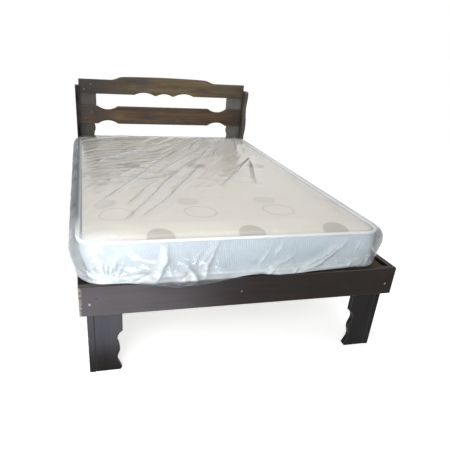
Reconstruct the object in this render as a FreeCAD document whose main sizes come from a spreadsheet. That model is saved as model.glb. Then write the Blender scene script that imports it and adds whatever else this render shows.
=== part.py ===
import FreeCAD, Part
import math
import os
import re
import Sketcher

# A wooden bed: a boarded frame with scalloped legs and headboard, slats on cleats and a beam,
# and a loose mattress in a clear bag. Millimetres, +X right, +Y towards the headboard, +Z up.
# The origin lies on the floor below the middle of the bed.

SLAT_COUNT = 10

SIZES = [
    ("bed_width", 1300, "over the side rails"),
    ("rail_thick", 25, "foot rail and side rails"),
    ("rail_top", 400, "top of the rails above the floor"),
    ("rail_height", 122, "foot, side and head rails"),
    ("arris", 2, "rounding or bevel of the boards' edges"),
    ("board_thick", 25, "leg side boards and wings"),
    ("leg_face_width", 107, "front board of a leg"),
    ("leg_face_thick", 25, "front board of a leg"),
    ("leg_side_depth", 110, "side board of a leg"),
    ("scallop_top", 185, "sharp corner where the scallop starts"),
    ("scallop_line", 17, "line that the scallop swings about, in from the straight edge"),
    ("notch_span", 55, "first hollow of the scallop"),
    ("notch_radius", 43.2, "first hollow of the scallop"),
    ("bulge_span", 50, "bulge of the scallop"),
    ("bulge_radius", 60, "bulge of the scallop"),
    ("hollow_span", 42, "second hollow of the scallop"),
    ("toe_depth", 5, "toe, in from the straight edge"),
    ("toe_height", 10, "toe, above the floor"),
    ("toe_slant", 7, "bevel under the toe, in at the floor"),
    ("slat_drop", 12, "rail top down to the slats"),
    ("slat_thick", 18, "slats"),
    ("slat_width", 100, "slats"),
    ("slat_side_gap", 3, "slat end to side rail"),
    ("slat_end_gap", 5, "first slat to the foot rail and last slat to the wings"),
    ("cleat_width", 30, "cleats"),
    ("cleat_height", 40, "cleats"),
    ("cleat_end_gap", 2, "cleat to leg and to wing"),
    ("beam_width", 90, "centre beam"),
    ("beam_height", 60, "centre beam"),
    ("block_width", 120, "blocks under the beam"),
    ("block_depth", 30, "blocks under the beam"),
    ("block_height", 30, "blocks under the beam"),
    ("foot_gap", 22, "bag to foot rail"),
    ("head_gap", 20, "bag to wings"),
    ("wing_reach", 47, "wings forward of the headboard rails"),
    ("headboard_thick", 24, "crest, middle and head rails"),
    ("post_thick", 25, "post boards"),
    ("post_width", 117, "post boards, in from the wings"),
    ("post_drop", 21, "ends of the crest rail down to the top of the posts"),
    ("post_scallop_top", 680, "upper scallop of the post boards"),
    ("post_flare", 40, "upper scallop back out to the straight edge"),
    ("wing_drop", 41, "ends of the crest rail down to the top of the wings"),
    ("wing_wave", 110, "half wave of the wing's front edge"),
    ("wing_swing", 10.5, "swing of the wing's front edge to either side"),
    ("wing_corner", 15, "rounding of the wing's top front corner"),
    ("crest_base", 833, "underside of the crest rail"),
    ("crest_height", 93, "crest rail at its ends"),
    ("crest_rise", 22, "raised middle of the crest rail"),
    ("crest_crown", 5, "bow of the raised middle"),
    ("shoulder_out", 385, "where the crest rail starts to rise, from the middle"),
    ("shoulder_run", 100, "length of the rise"),
    ("arch_out", 216, "outer end of the side arches, from the middle"),
    ("arch_in", 78, "inner end of the side arches, from the middle"),
    ("arch_mid", 50, "end of the middle arch, from the middle"),
    ("arch_rise", 16, "height of the side arches"),
    ("middle_gap", 81, "crest rail down to the middle rail"),
    ("middle_height", 120, "middle rail"),
    ("nick_out", 475, "outer end of the middle rail's nicks, from the middle"),
    ("nick_in", 335, "inner end of the middle rail's nicks, from the middle"),
    ("nick_depth", 23, "depth of the nicks"),
    ("side_room", 50, "room beside the mattress, both sides together"),
    ("mattress_length", 1900, "over the piping"),
    ("mattress_shift", 17, "mattress to the left of the bed's middle"),
    ("mattress_corner", 70, "corner radius in plan"),
    ("core_height", 152, "mattress core"),
    ("core_wall", 25, "foam around the core's spring chamber"),
    ("core_pad", 12, "foam over and under the core's spring chamber"),
    ("border_thick", 8, "quilted border"),
    ("border_bulge", 5, "outward bow of the border"),
    ("crown", 24, "rise of the top panel"),
    ("piping", 7, "radius of the piping"),
    ("seam_gap", 0.5, "top panel to piping"),
    ("film", 1, "bag film"),
    ("film_gap", 1.5, "film to piping"),
    ("film_wrap", 160, "film folded in under the mattress"),
    ("head_radius", 4.6, "screw heads"),
    ("shank_radius", 2.4, "screw shanks"),
    ("head_depth", 3, "height of the screw heads"),
    ("head_sink", 0.3, "screw heads below the surface"),
    ("short_screw", 44, "length of the short screws"),
    ("long_screw", 62, "length of the long screws"),
    ("hole_gap", 0.15, "screw to its hole"),
    ("hole_rise", 2, "holes cut clear above the surface"),
    ("recess_wide", 1.3, "cross recess in a screw head"),
    ("recess_long", 5, "cross recess in a screw head"),
    ("recess_deep", 1.4, "cross recess in a screw head"),
]

DERIVED = {
    "rail_base": "rail_top - rail_height",
    "inside_half": "bed_width / 2 - rail_thick",
    "wing_inside": "inside_half - board_thick",
    "slat_top": "rail_top - slat_drop",
    "post_top": "crest_base + crest_height - post_drop",
    "wing_top": "crest_base + crest_height - wing_drop",
    "middle_base": "crest_base - middle_gap - middle_height",
    "mattress_width": "2 * inside_half - side_room",
    "slat_base": "slat_top - slat_thick",
    "bag_margin": "film_gap + film",
    "mattress_foot": "rail_thick + foot_gap + bag_margin",
    "wing_front": "mattress_foot + mattress_length + bag_margin + head_gap",
    "headboard_front": "wing_front + wing_reach",
    "post_front": "headboard_front + headboard_thick",
    "bed_length": "post_front + post_thick",
    "foot_y": "-bed_length / 2",
    "wing_depth": "bed_length - wing_front",
    "wave_radius": "wing_wave ^ 2 / (8 * wing_swing) + wing_swing / 2",
    "hollow_radius": "bulge_radius * hollow_span / bulge_span",
    "shoulder_radius": "((shoulder_run / 2) ^ 2 + (crest_rise / 2) ^ 2) / crest_rise",
    "shoulder_in": "shoulder_out - shoulder_run",
    "crown_radius": "(2 * shoulder_in) ^ 2 / (8 * crest_crown) + crest_crown / 2",
    "arch_radius": "(arch_out - arch_in) ^ 2 / (8 * arch_rise) + arch_rise / 2",
    "bump_radius": "arch_radius * (arch_in - arch_mid) / (arch_out - arch_in)",
    "mid_arch_radius": "arch_radius * 2 * arch_mid / (arch_out - arch_in)",
    "nick_radius": "(nick_out - nick_in) ^ 2 / (8 * nick_depth) + nick_depth / 2",
    "seam_half_x": "mattress_width / 2 - piping",
    "seam_half_y": "mattress_length / 2 - piping",
    "core_half_x": "seam_half_x - border_thick",
    "core_half_y": "seam_half_y - border_thick",
    "panel_half_x": "seam_half_x - piping - seam_gap",
    "panel_half_y": "seam_half_y - piping - seam_gap",
    "core_base": "slat_top + film + piping",
    "core_top": "core_base + core_height",
    "mattress_x": "-mattress_shift",
    "mattress_y": "foot_y + mattress_foot + mattress_length / 2",
    "slat_first": "foot_y + rail_thick + slat_end_gap",
    "slat_last": "foot_y + wing_front - slat_end_gap - slat_width",
    "beam_base": "slat_base - beam_height",
    "cleat_first": "foot_y + rail_thick + leg_side_depth + cleat_end_gap",
    "cleat_last": "foot_y + wing_front - cleat_end_gap",
}

doc = FreeCAD.newDocument("wooden_bed")
sheet = doc.addObject("Spreadsheet::Sheet", "Sizes")
for row, (alias, number, words) in enumerate(SIZES, 1):
    sheet.set(f"A{row}", words)
    sheet.set(f"B{row}", str(number))
    sheet.setAlias(f"B{row}", alias)
doc.recompute()

CELLS = {alias for alias, number, words in SIZES}
nodes = {}


def ex(text):
    """Spell out the derived names of an expression and point the sizes at their cells."""

    def swap(match):
        word = match.group()
        if word in DERIVED:
            return "(" + ex(DERIVED[word]) + ")"
        return "Sizes." + word if word in CELLS else word

    return re.sub(r"[a-z_]+", swap, text)


def num(text):
    """Value of an expression."""
    return float(sheet.evalExpression(ex(text)))


def place(thing, x, y, z):
    """Bind where an object stands."""
    for axis, text in zip("xyz", (x, y, z)):
        thing.setExpression(f"Placement.Base.{axis}", ex(text))


def trace(sketch, steps):
    """Draw a closed outline and bind it.

    A step (x, y) ends a line there. A step (x, y, radius, turn) ends an arc there, which turns
    left for turn 1 and right for turn -1.
    """
    spots = [FreeCAD.Vector(num(step[0]), num(step[1]), 0) for step in steps]
    curves = []
    ends = []
    for index, step in enumerate(steps):
        start = spots[index - 1]
        stop = spots[index]
        if len(step) == 2:
            curves.append(Part.LineSegment(start, stop))
            ends.append((1, 2))
            continue
        radius = num(step[2])
        chord = stop.sub(start)
        reach = math.sqrt(radius**2 - chord.Length**2 / 4)
        left = FreeCAD.Vector(-chord.y, chord.x, 0).normalize()
        centre = start + chord * 0.5 + left * (reach * step[3])
        angles = [math.atan2(spot.y - centre.y, spot.x - centre.x) for spot in (start, stop)]
        circle = Part.Circle(centre, FreeCAD.Vector(0, 0, 1), radius)
        curves.append(Part.ArcOfCircle(circle, *angles[:: step[3]]))
        ends.append((1, 2)[:: step[3]])
    sketch.addGeometry(curves, False)
    for index, step in enumerate(steps):
        before = index - 1 if index else len(steps) - 1
        joined = (before, ends[before][1], index, ends[index][0])
        sketch.addConstraint(Sketcher.Constraint("Coincident", *joined))
    for index, step in enumerate(steps):
        spot = spots[index]
        bound = [
            (Sketcher.Constraint("DistanceX", index, ends[index][1], spot.x), step[0]),
            (Sketcher.Constraint("DistanceY", index, ends[index][1], spot.y), step[1]),
        ]
        if len(step) == 4:
            bound.append((Sketcher.Constraint("Radius", index, num(step[2])), step[2]))
        for constraint, text in bound:
            number = sketch.addConstraint(constraint)
            sketch.setExpression(f"Constraints[{number}]", ex(text))
    return sketch


def new_sketch(body, label, plane, steps, lift="0"):
    """Outline on one of a body's own planes, lifted off it."""
    sketch = body.newObject("Sketcher::SketchObject", label)
    sketch.AttachmentSupport = [(next(f for f in body.Origin.OriginFeatures if f.Role == plane), "")]
    sketch.MapMode = "FlatFace"
    sketch.setExpression("AttachmentOffset.Base.z", ex(lift))
    return trace(sketch, steps)


def pad(name, plane, steps, depth, spot, soft="all"):
    """Body from one outline. All its edges are rounded, those of its two faces bevelled, or none eased."""
    body = doc.addObject("PartDesign::Body", name)
    sketch = new_sketch(body, name + "_outline", plane, steps)
    block = body.newObject("PartDesign::Pad", name + "_pad")
    block.Profile = sketch
    block.Reversed = plane == "XZ_Plane"
    block.setExpression("Length", ex(depth))
    sketch.Visibility = False
    doc.recompute()
    if soft == "all":
        rounding = body.newObject("PartDesign::Fillet", name + "_arris")
        rounding.Base = (block, ["Edge1"])
        rounding.UseAllEdges = True
        rounding.setExpression("Radius", ex("arris"))
    if soft == "faces":
        across = {"XZ_Plane": "y", "YZ_Plane": "x"}[plane]
        bevel = body.newObject("PartDesign::Chamfer", name + "_arris")
        bevel.Base = (block, [f"Face{number}" for number, face in enumerate(block.Shape.Faces, 1)
                              if abs(getattr(face.normalAt(0, 0), across)) > 0.999])
        bevel.setExpression("Size", ex("arris"))
    place(body, *spot)
    return body


def oblong(wide, high):
    """Steps of a rectangle from its lower left corner."""
    return [("0", "0"), (wide, "0"), (wide, high), ("0", high)]


def rounded(half_x, half_y, radius):
    """Steps of a rectangle about its middle with round corners."""
    inner_x = f"({half_x}) - ({radius})"
    inner_y = f"({half_y}) - ({radius})"
    return [
        (inner_x, f"-({half_y})"),
        (half_x, f"-({inner_y})", radius, 1),
        (half_x, inner_y),
        (inner_x, half_y, radius, 1),
        (f"-({inner_x})", half_y),
        (f"-({half_x})", inner_y, radius, 1),
        (f"-({half_x})", f"-({inner_y})"),
        (f"-({inner_x})", f"-({half_y})", radius, 1),
    ]


def drilled(name, blank, *sets):
    """Node: a board with the holes of its screws."""
    board = doc.addObject("Part::Cut", name)
    board.Base = blank
    tool = sets[0]
    if len(sets) > 1:
        tool = doc.addObject("Part::Compound", name + "_holes")
        tool.Links = list(sets)
    board.Tool = tool
    nodes[name] = board
    return board


def turned(profile):
    """Solid of a half outline of (radius, depth) spots turned about Z."""
    wire = Part.makePolygon([FreeCAD.Vector(r, 0, z) for r, z in profile + profile[:1]])
    return Part.Face(wire).revolve(FreeCAD.Vector(), FreeCAD.Vector(0, 0, 1), 360)


def screws(name, length, spots):
    """Node of countersunk screws, and the holes for them. A spot is (x, y, z, direction)."""
    head = num("head_radius")
    shank = num("shank_radius")
    sink = num("head_sink")
    neck = sink + num("head_depth")
    tip = num(length)
    gap = num("hole_gap")
    screw = turned([(0, sink), (head, sink), (shank, neck), (shank, tip - 2 * shank), (0, tip)])
    long = num("recess_long")
    wide = num("recess_wide")
    deep = num("recess_deep")
    for size_x, size_y in ((long, wide), (wide, long)):
        corner = FreeCAD.Vector(-size_x / 2, -size_y / 2, sink)
        screw = screw.cut(Part.makeBox(size_x, size_y, deep, corner))
    outside = -num("hole_rise")
    hole = turned([(0, outside), (head + gap, outside), (head + gap, sink), (shank + gap, neck),
                   (shank + gap, tip + gap), (0, tip + gap)])
    moves = []
    for x, y, z, way in spots:
        spin = FreeCAD.Rotation(FreeCAD.Vector(0, 0, 1), FreeCAD.Vector(*way))
        moves.append(FreeCAD.Placement(FreeCAD.Vector(num(x), num(y), num(z)), spin))
    group = doc.addObject("Part::Feature", name)
    group.Shape = Part.makeCompound([screw.transformed(move.toMatrix()) for move in moves])
    holes = doc.addObject("Part::Feature", name + "_holes")
    holes.Shape = Part.makeCompound([hole.transformed(move.toMatrix()) for move in moves])
    nodes[name] = group
    return holes


def scallop(edge, way, top):
    """Steps down a scalloped edge to the floor; way 1 swings towards smaller x."""
    line = f"{edge} - {way} * scallop_line"
    turn = way
    return [
        (edge, top),
        (line, f"{top} - notch_span", "notch_radius", turn),
        (line, f"{top} - notch_span - bulge_span", "bulge_radius", -turn),
        (line, f"{top} - notch_span - bulge_span - hollow_span", "hollow_radius", turn),
    ]


def toe(edge, way):
    """Steps of the flared toe and the bevel under it."""
    return [
        (f"{edge} - {way} * toe_depth", "toe_height"),
        (f"{edge} - {way} * (toe_depth + toe_slant)", "0"),
    ]


# Screws: where each head sits and which way the screw points

SIDES = (("left", -1), ("right", 1))

foot_holes = screws("foot_rail_screws", "short_screw", [
    (f"{side} * ({x} - board_thick / 2)", "foot_y", z, (0, 1, 0))
    for name, side in SIDES
    for x, z in (("inside_half", "rail_base + 0.4 * rail_height"),
                 ("wing_inside", "slat_base - 0.15 * rail_height"))])
side_holes = screws("side_rail_screws", "short_screw", [
    (f"{side} * bed_width / 2", y, f"rail_base + {share} * rail_height", (-side, 0, 0))
    for name, side in SIDES
    for y, share in (("foot_y + rail_thick + 0.4 * leg_side_depth", 0.26),
                     ("foot_y + rail_thick + 0.8 * leg_side_depth", 0.55),
                     ("foot_y + wing_front + 0.3 * wing_depth", 0.55),
                     ("foot_y + wing_front + 0.75 * wing_depth", 0.26))])
headboard_holes = screws("headboard_screws", "short_screw", [
    (f"{side} * (wing_inside - {inset} * post_width)", "foot_y + headboard_front",
     f"{base} + {share} * {high}", (0, 1, 0))
    for name, side in SIDES
    for base, high in (("crest_base", "crest_height"), ("middle_base", "middle_height"),
                       ("rail_base", "rail_height"))
    for inset, share in ((0.3, 0.3), (0.7, 0.65))])
corner_holes = screws("leg_corner_screws", "long_screw", [
    (f"{side} * inside_half", "foot_y + rail_thick + leg_face_thick / 2", f"{share} * rail_base",
     (-side, 0, 0))
    for name, side in SIDES for share in (0.3, 0.85)])
wing_holes = screws("wing_screws", "long_screw", [
    (f"{side} * inside_half", "foot_y + post_front + post_thick / 2", z, (-side, 0, 0))
    for name, side in SIDES
    for z in ("0.5 * rail_base", "rail_top + 0.5 * rail_height",
              "(middle_base + middle_height + crest_base) / 2")])
slat_pitch = f"(slat_last - slat_first) / {SLAT_COUNT - 1}"
slat_spots = [f"slat_first + {index} * {slat_pitch}" for index in range(SLAT_COUNT)]
slat_holes = screws("slat_screws", "short_screw", [
    (f"{side} * (inside_half - cleat_width / 2)", f"{spot} + slat_width / 2", "slat_top", (0, 0, -1))
    for name, side in SIDES for spot in slat_spots])
cleat_holes = screws("cleat_screws", "short_screw", [
    (f"{side} * (inside_half - cleat_width)",
     f"slat_first + slat_width / 2 + {index + 0.5} * {slat_pitch}",
     "slat_base - cleat_height / 2", (side, 0, 0))
    for name, side in SIDES for index in range(0, SLAT_COUNT - 1, 2)])
beam_holes = screws("beam_screws", "long_screw", [
    ("-0.35 * beam_width", "foot_y", "rail_base + rail_height / 2", (0, 1, 0))])
block_holes = screws("block_screws", "short_screw", [
    (f"{side} * 0.36 * block_width", y, "beam_base - block_height / 2", (0, way, 0))
    for y, way in (("foot_y + rail_thick + block_depth", -1), ("foot_y + headboard_front - block_depth", 1))
    for name, side in SIDES])

# Rails, cleats, beam and slats

foot_blank = pad("foot_rail_board", "YZ_Plane", oblong("rail_thick", "rail_height"), "bed_width",
                 ("-bed_width / 2", "foot_y", "rail_base"))
drilled("foot_rail", foot_blank, foot_holes, beam_holes, block_holes)
for name, side in SIDES:
    rail_x = "inside_half" if side > 0 else "-bed_width / 2"
    blank = pad(f"side_rail_{name}_board", "XZ_Plane", oblong("rail_thick", "rail_height"),
                "bed_length - rail_thick", (rail_x, "foot_y + rail_thick", "rail_base"))
    drilled(f"side_rail_{name}", blank, side_holes, cleat_holes)
    cleat_x = "inside_half - cleat_width" if side > 0 else "-inside_half"
    blank = pad(f"cleat_{name}_board", "XZ_Plane", oblong("cleat_width", "cleat_height"),
                "cleat_last - cleat_first", (cleat_x, "cleat_first", "slat_base - cleat_height"), "none")
    drilled(f"cleat_{name}", blank, cleat_holes, slat_holes)
blank = pad("head_rail_board", "YZ_Plane", oblong("headboard_thick", "rail_height"), "2 * wing_inside",
            ("-wing_inside", "foot_y + headboard_front", "rail_base"))
drilled("head_rail", blank, headboard_holes, block_holes)
blank = pad("centre_beam_board", "XZ_Plane", oblong("beam_width", "beam_height"),
            "headboard_front - rail_thick", ("-beam_width / 2", "foot_y + rail_thick", "beam_base"), "none")
drilled("centre_beam", blank, beam_holes)
for name, y in (("foot", "foot_y + rail_thick"), ("head", "foot_y + headboard_front - block_depth")):
    blank = pad(f"beam_block_{name}_board", "YZ_Plane", oblong("block_depth", "block_height"),
                "block_width", ("-block_width / 2", y, "beam_base - block_height"), "none")
    drilled(f"beam_block_{name}", blank, block_holes)
for index, spot in enumerate(slat_spots, 1):
    blank = pad(f"slat_{index:02d}_board", "YZ_Plane", oblong("slat_width", "slat_thick"),
                "2 * (inside_half - slat_side_gap)", ("-(inside_half - slat_side_gap)", spot, "slat_base"))
    drilled(f"slat_{index:02d}", blank, slat_holes)

# Legs, posts and wings

for name, side in SIDES:
    way = -side
    edge = f"{way} * leg_face_width"
    steps = [("0", "0"), ("0", "slat_base"), (edge, "slat_base")]
    steps += scallop(edge, way, "scallop_top") + toe(edge, way)
    blank = pad(f"leg_face_{name}_board", "XZ_Plane", steps, "leg_face_thick",
                (f"{side} * wing_inside", "foot_y + rail_thick", "0"), "faces")
    drilled(f"leg_face_{name}", blank, foot_holes, corner_holes)

    side_x = "wing_inside" if side > 0 else "-inside_half"
    edge = "leg_side_depth"
    steps = [("0", "0"), ("0", "slat_base"), (edge, "slat_base")]
    steps += scallop(edge, 1, "scallop_top") + toe(edge, 1)
    blank = pad(f"leg_side_{name}_board", "YZ_Plane", steps, "board_thick",
                (side_x, "foot_y + rail_thick", "0"), "faces")
    drilled(f"leg_side_{name}", blank, foot_holes, corner_holes, side_holes, slat_holes)

    edge = f"{way} * post_width"
    upper = scallop(edge, way, "post_scallop_top")
    steps = [("0", "0"), ("0", "post_top"), (edge, "post_top")] + upper
    steps += [(edge, f"{upper[-1][1]} - post_flare")]
    steps += scallop(edge, way, "scallop_top") + toe(edge, way)
    blank = pad(f"post_{name}_board", "XZ_Plane", steps, "post_thick",
                (f"{side} * wing_inside", "foot_y + post_front", "0"), "faces")
    drilled(f"post_{name}", blank, headboard_holes, wing_holes)

    edge = "-wing_depth"
    line = "-(wing_depth - wing_swing)"
    high = "(wing_top - wing_corner - wing_wave / 2)"
    steps = [("0", "0"), ("0", "wing_top"), ("-(wing_depth - wing_corner)", "wing_top")]
    steps += [(edge, "wing_top - wing_corner", "wing_corner", 1), (line, high, "wave_radius", 1)]
    steps += [(line, f"{high} - {count} * wing_wave", "wave_radius", turn)
              for count, turn in ((1, -1), (2, 1), (3, -1))]
    steps += [(edge, f"{high} - 3.5 * wing_wave", "wave_radius", 1)]
    steps += scallop(edge, -1, "scallop_top") + toe(edge, -1)
    blank = pad(f"wing_{name}_board", "YZ_Plane", steps, "board_thick",
                (side_x, "foot_y + bed_length", "0"), "faces")
    drilled(f"wing_{name}", blank, wing_holes, side_holes)

# Headboard rails

top = "crest_height"
steps = [("-wing_inside", "0"), ("-arch_out", "0"), ("-arch_in", "0", "arch_radius", -1),
         ("-arch_mid", "0", "bump_radius", 1), ("arch_mid", "0", "mid_arch_radius", -1),
         ("arch_in", "0", "bump_radius", 1), ("arch_out", "0", "arch_radius", -1),
         ("wing_inside", "0"), ("wing_inside", top)]
steps += [("shoulder_out", top),
          ("shoulder_out - shoulder_run / 2", f"{top} + crest_rise / 2", "shoulder_radius", -1),
          ("shoulder_in", f"{top} + crest_rise", "shoulder_radius", 1),
          ("-shoulder_in", f"{top} + crest_rise", "crown_radius", 1),
          ("-(shoulder_out - shoulder_run / 2)", f"{top} + crest_rise / 2", "shoulder_radius", 1),
          ("-shoulder_out", top, "shoulder_radius", -1), ("-wing_inside", top)]
blank = pad("crest_rail_board", "XZ_Plane", steps, "headboard_thick",
            ("0", "foot_y + headboard_front", "crest_base"), "faces")
drilled("crest_rail", blank, headboard_holes)

top = "middle_height"
steps = [("-wing_inside", "0"), ("-nick_out", "0"), ("-nick_in", "0", "nick_radius", -1), ("nick_in", "0"),
         ("nick_out", "0", "nick_radius", -1), ("wing_inside", "0"), ("wing_inside", top), ("nick_out", top),
         ("nick_in", top, "nick_radius", -1), ("-nick_in", top), ("-nick_out", top, "nick_radius", -1),
         ("-wing_inside", top)]
blank = pad("middle_rail_board", "XZ_Plane", steps, "headboard_thick",
            ("0", "foot_y + headboard_front", "middle_base"), "faces")
drilled("middle_rail", blank, headboard_holes)

# Mattress and its bag


def lofted(name, layers, smooth):
    """Body through round-cornered oblongs, each (half x, half y, corner radius, height)."""
    body = doc.addObject("PartDesign::Body", name)
    sketches = [new_sketch(body, f"{name}_layer_{index}", "XY_Plane", rounded(*layer[:3]), layer[3])
                for index, layer in enumerate(layers)]
    loft = body.newObject("PartDesign::AdditiveLoft", name + "_loft")
    loft.Profile = sketches[0]
    loft.Sections = sketches[1:]
    loft.Ruled = not smooth
    place(body, "mattress_x", "mattress_y", "0")
    return body


def shrunk(half_x, half_y, inset):
    """Half sizes taken in by an inset."""
    return (f"{half_x} - {inset}", f"{half_y} - {inset}")


core_corner = "mattress_corner - piping - border_thick"
core = pad("mattress_core_block", "XY_Plane", rounded("core_half_x", "core_half_y", core_corner),
           "core_height", ("mattress_x", "mattress_y", "core_base"), "none")
chamber = pad("mattress_core_chamber", "XY_Plane",
              rounded(*shrunk("core_half_x", "core_half_y", "core_wall"), f"{core_corner} - core_wall"),
              "core_height - 2 * core_pad", ("mattress_x", "mattress_y", "core_base + core_pad"), "none")
hollow = doc.addObject("Part::Cut", "mattress_core")
hollow.Base = core
hollow.Tool = chamber
nodes["mattress_core"] = hollow

nodes["mattress_bottom_panel"] = pad(
    "mattress_bottom_panel", "XY_Plane", rounded("panel_half_x", "panel_half_y", core_corner), "piping",
    ("mattress_x", "mattress_y", "core_base - piping"), "none")

# Layers of the crown: inset, growth of the corner radius and share of the rise
crown_layers = ((0, 0, 0), (3, 0, 0.25), (12, 4, 0.45), (45, 20, 0.68), (120, 55, 0.87), (280, 130, 1))
nodes["mattress_top_panel"] = lofted("mattress_top_panel", [
    (*shrunk("panel_half_x", "panel_half_y", inset), f"{core_corner} + {corner}",
     f"core_top + {share} * crown")
    for inset, corner, share in crown_layers], False)

border_corner = "mattress_corner - piping"
border = lofted("mattress_border_wrap", [
    ("seam_half_x", "seam_half_y", border_corner, "core_base + piping"),
    ("seam_half_x + border_bulge", "seam_half_y + border_bulge", f"{border_corner} + border_bulge",
     "(core_base + core_top) / 2"),
    ("seam_half_x", "seam_half_y", border_corner, "core_top - piping")], True)
cut = doc.addObject("Part::Cut", "mattress_border")
cut.Base = border
cut.Tool = core
nodes["mattress_border"] = cut

for name, z in (("piping_top", "core_top"), ("piping_bottom", "core_base")):
    path = doc.addObject("Sketcher::SketchObject", name + "_path")
    trace(path, rounded("seam_half_x", "seam_half_y", border_corner))
    place(path, "mattress_x", "mattress_y", z)
    ring = doc.addObject("Sketcher::SketchObject", name + "_ring")
    ring.Placement.Rotation = FreeCAD.Rotation(FreeCAD.Vector(0, 0, 1), FreeCAD.Vector(1, 0, 0))
    ring.addGeometry(Part.Circle(FreeCAD.Vector(), FreeCAD.Vector(0, 0, 1), num("piping")), False)
    ring.addConstraint(Sketcher.Constraint("Coincident", 0, 3, -1, 1))
    number = ring.addConstraint(Sketcher.Constraint("Radius", 0, num("piping")))
    ring.setExpression(f"Constraints[{number}]", ex("piping"))
    place(ring, "mattress_x + seam_half_x - (" + border_corner + ")", "mattress_y - seam_half_y", z)
    sweep = doc.addObject("Part::Sweep", name)
    sweep.Sections = [ring]
    sweep.Spine = (path, [f"Edge{number}" for number in range(1, 9)])
    sweep.Solid = True
    nodes[name] = sweep

skins = []
for name, gap in (("outside", "film_gap + film"), ("inside", "film_gap")):
    reach = f"piping + {gap}"
    layers = [("seam_half_x + " + reach, "seam_half_y + " + reach, "mattress_corner + " + gap, z)
              for z in (f"core_base - ({reach}) + film_gap", f"core_top + piping / 2 + {gap}")]
    layers += [(f"panel_half_x + {reach} - {inset}", f"panel_half_y + {reach} - {inset}",
                f"mattress_corner + {corner}", f"core_top + {share} * crown + piping + {gap}")
               for inset, corner, share in crown_layers[2:]]
    skins.append(lofted("mattress_bag_" + name, layers, False))
shell = doc.addObject("Part::Cut", "mattress_bag_shell")
shell.Base, shell.Tool = skins
mouth = pad("mattress_bag_mouth", "XY_Plane",
            rounded("seam_half_x - film_wrap", "seam_half_y - film_wrap", "mattress_corner"), "4 * film",
            ("mattress_x", "mattress_y", "slat_top - 2 * film"), "none")
bag = doc.addObject("Part::Cut", "mattress_bag")
bag.Base = shell
bag.Tool = mouth
nodes["mattress_bag"] = bag

# Checks and files

doc.recompute()
for thing in doc.Objects:
    assert "Invalid" not in thing.State and "Error" not in thing.State, (thing.Name, thing.State)
for name, thing in nodes.items():
    assert not thing.Shape.isNull() and thing.Shape.isValid() and thing.Shape.Solids, name

os.makedirs("parts", exist_ok=True)
for name, thing in nodes.items():
    thing.Shape.exportStep(f"parts/{name}.step")
print(len(nodes), "sub-parts, length", num("bed_length"))
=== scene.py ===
# %% [markdown]
# # A wooden bed with its mattress still in the bag
#
# The bed is a dark varnished frame of flat boards with scalloped legs and a shaped headboard.
# A sprung mattress lies on its slats, and a clear plastic bag is still pulled over the mattress.
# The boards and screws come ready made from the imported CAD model, so this lesson gives them their
# finish, and builds the soft pieces new: the quilted top, the ribbed border, the piping and the bag.

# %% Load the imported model
import math

import bpy
import numpy as np
from mathutils import Matrix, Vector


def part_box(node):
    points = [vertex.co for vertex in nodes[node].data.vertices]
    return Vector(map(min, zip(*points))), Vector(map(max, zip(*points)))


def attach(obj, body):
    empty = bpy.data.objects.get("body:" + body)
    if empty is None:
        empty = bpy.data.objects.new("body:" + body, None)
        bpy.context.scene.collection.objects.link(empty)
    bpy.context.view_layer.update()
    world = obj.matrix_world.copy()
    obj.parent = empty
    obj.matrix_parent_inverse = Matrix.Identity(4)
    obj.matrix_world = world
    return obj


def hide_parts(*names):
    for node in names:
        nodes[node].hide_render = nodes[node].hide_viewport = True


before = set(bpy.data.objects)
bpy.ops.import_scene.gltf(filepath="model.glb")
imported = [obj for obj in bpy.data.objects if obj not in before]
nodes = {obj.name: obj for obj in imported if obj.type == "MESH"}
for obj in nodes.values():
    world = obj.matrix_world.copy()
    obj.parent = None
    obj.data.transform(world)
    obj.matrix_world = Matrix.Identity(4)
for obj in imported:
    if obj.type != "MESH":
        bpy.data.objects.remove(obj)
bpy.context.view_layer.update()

print("parts in the frame:", len(nodes))

# %% [markdown]
# ## Colours, shader nodes and meshes
#
# A few helpers serve the whole lesson. Colours are written as screen hex values, which Blender's
# shaders don't take as they are, so one function turns them to linear light. One function adds a
# shader node together with its settings and links, and one starts a material. Two more turn an
# array of points into a mesh, because every new piece here is worked out as a whole grid of points
# with numpy.

# %% Colours and shader nodes


def linear(text):
    """Linear colour of an sRGB hex: ((c + 0.055) / 1.055) ^ 2.4, or c / 12.92 for very dark values."""
    parts = np.array([int(text[start:start + 2], 16) for start in (1, 3, 5)]) / 255
    light = np.where(parts > 0.04045, ((parts + 0.055) / 1.055) ** 2.4, parts / 12.92)
    return (*light.tolist(), 1.0)


def add(tree, kind, inputs=None, **settings):
    """Add a shader node. Inputs are numbers to set or sockets to link, by name or position."""
    made = tree.nodes.new("ShaderNode" + kind)
    for name, value in settings.items():
        setattr(made, name, value)
    for name, value in (inputs or {}).items():
        if isinstance(value, bpy.types.NodeSocket):
            tree.links.new(value, made.inputs[name])
        else:
            made.inputs[name].default_value = value
    return made


def new_material(name):
    """Material with an empty node tree, and that tree."""
    material = bpy.data.materials.new(name)
    material.use_nodes = True
    material.node_tree.nodes.clear()
    return material, material.node_tree


print("a mid grey of the screen in linear light:", round(linear("#808080")[0], 3))

# %% Meshes from points


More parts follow.
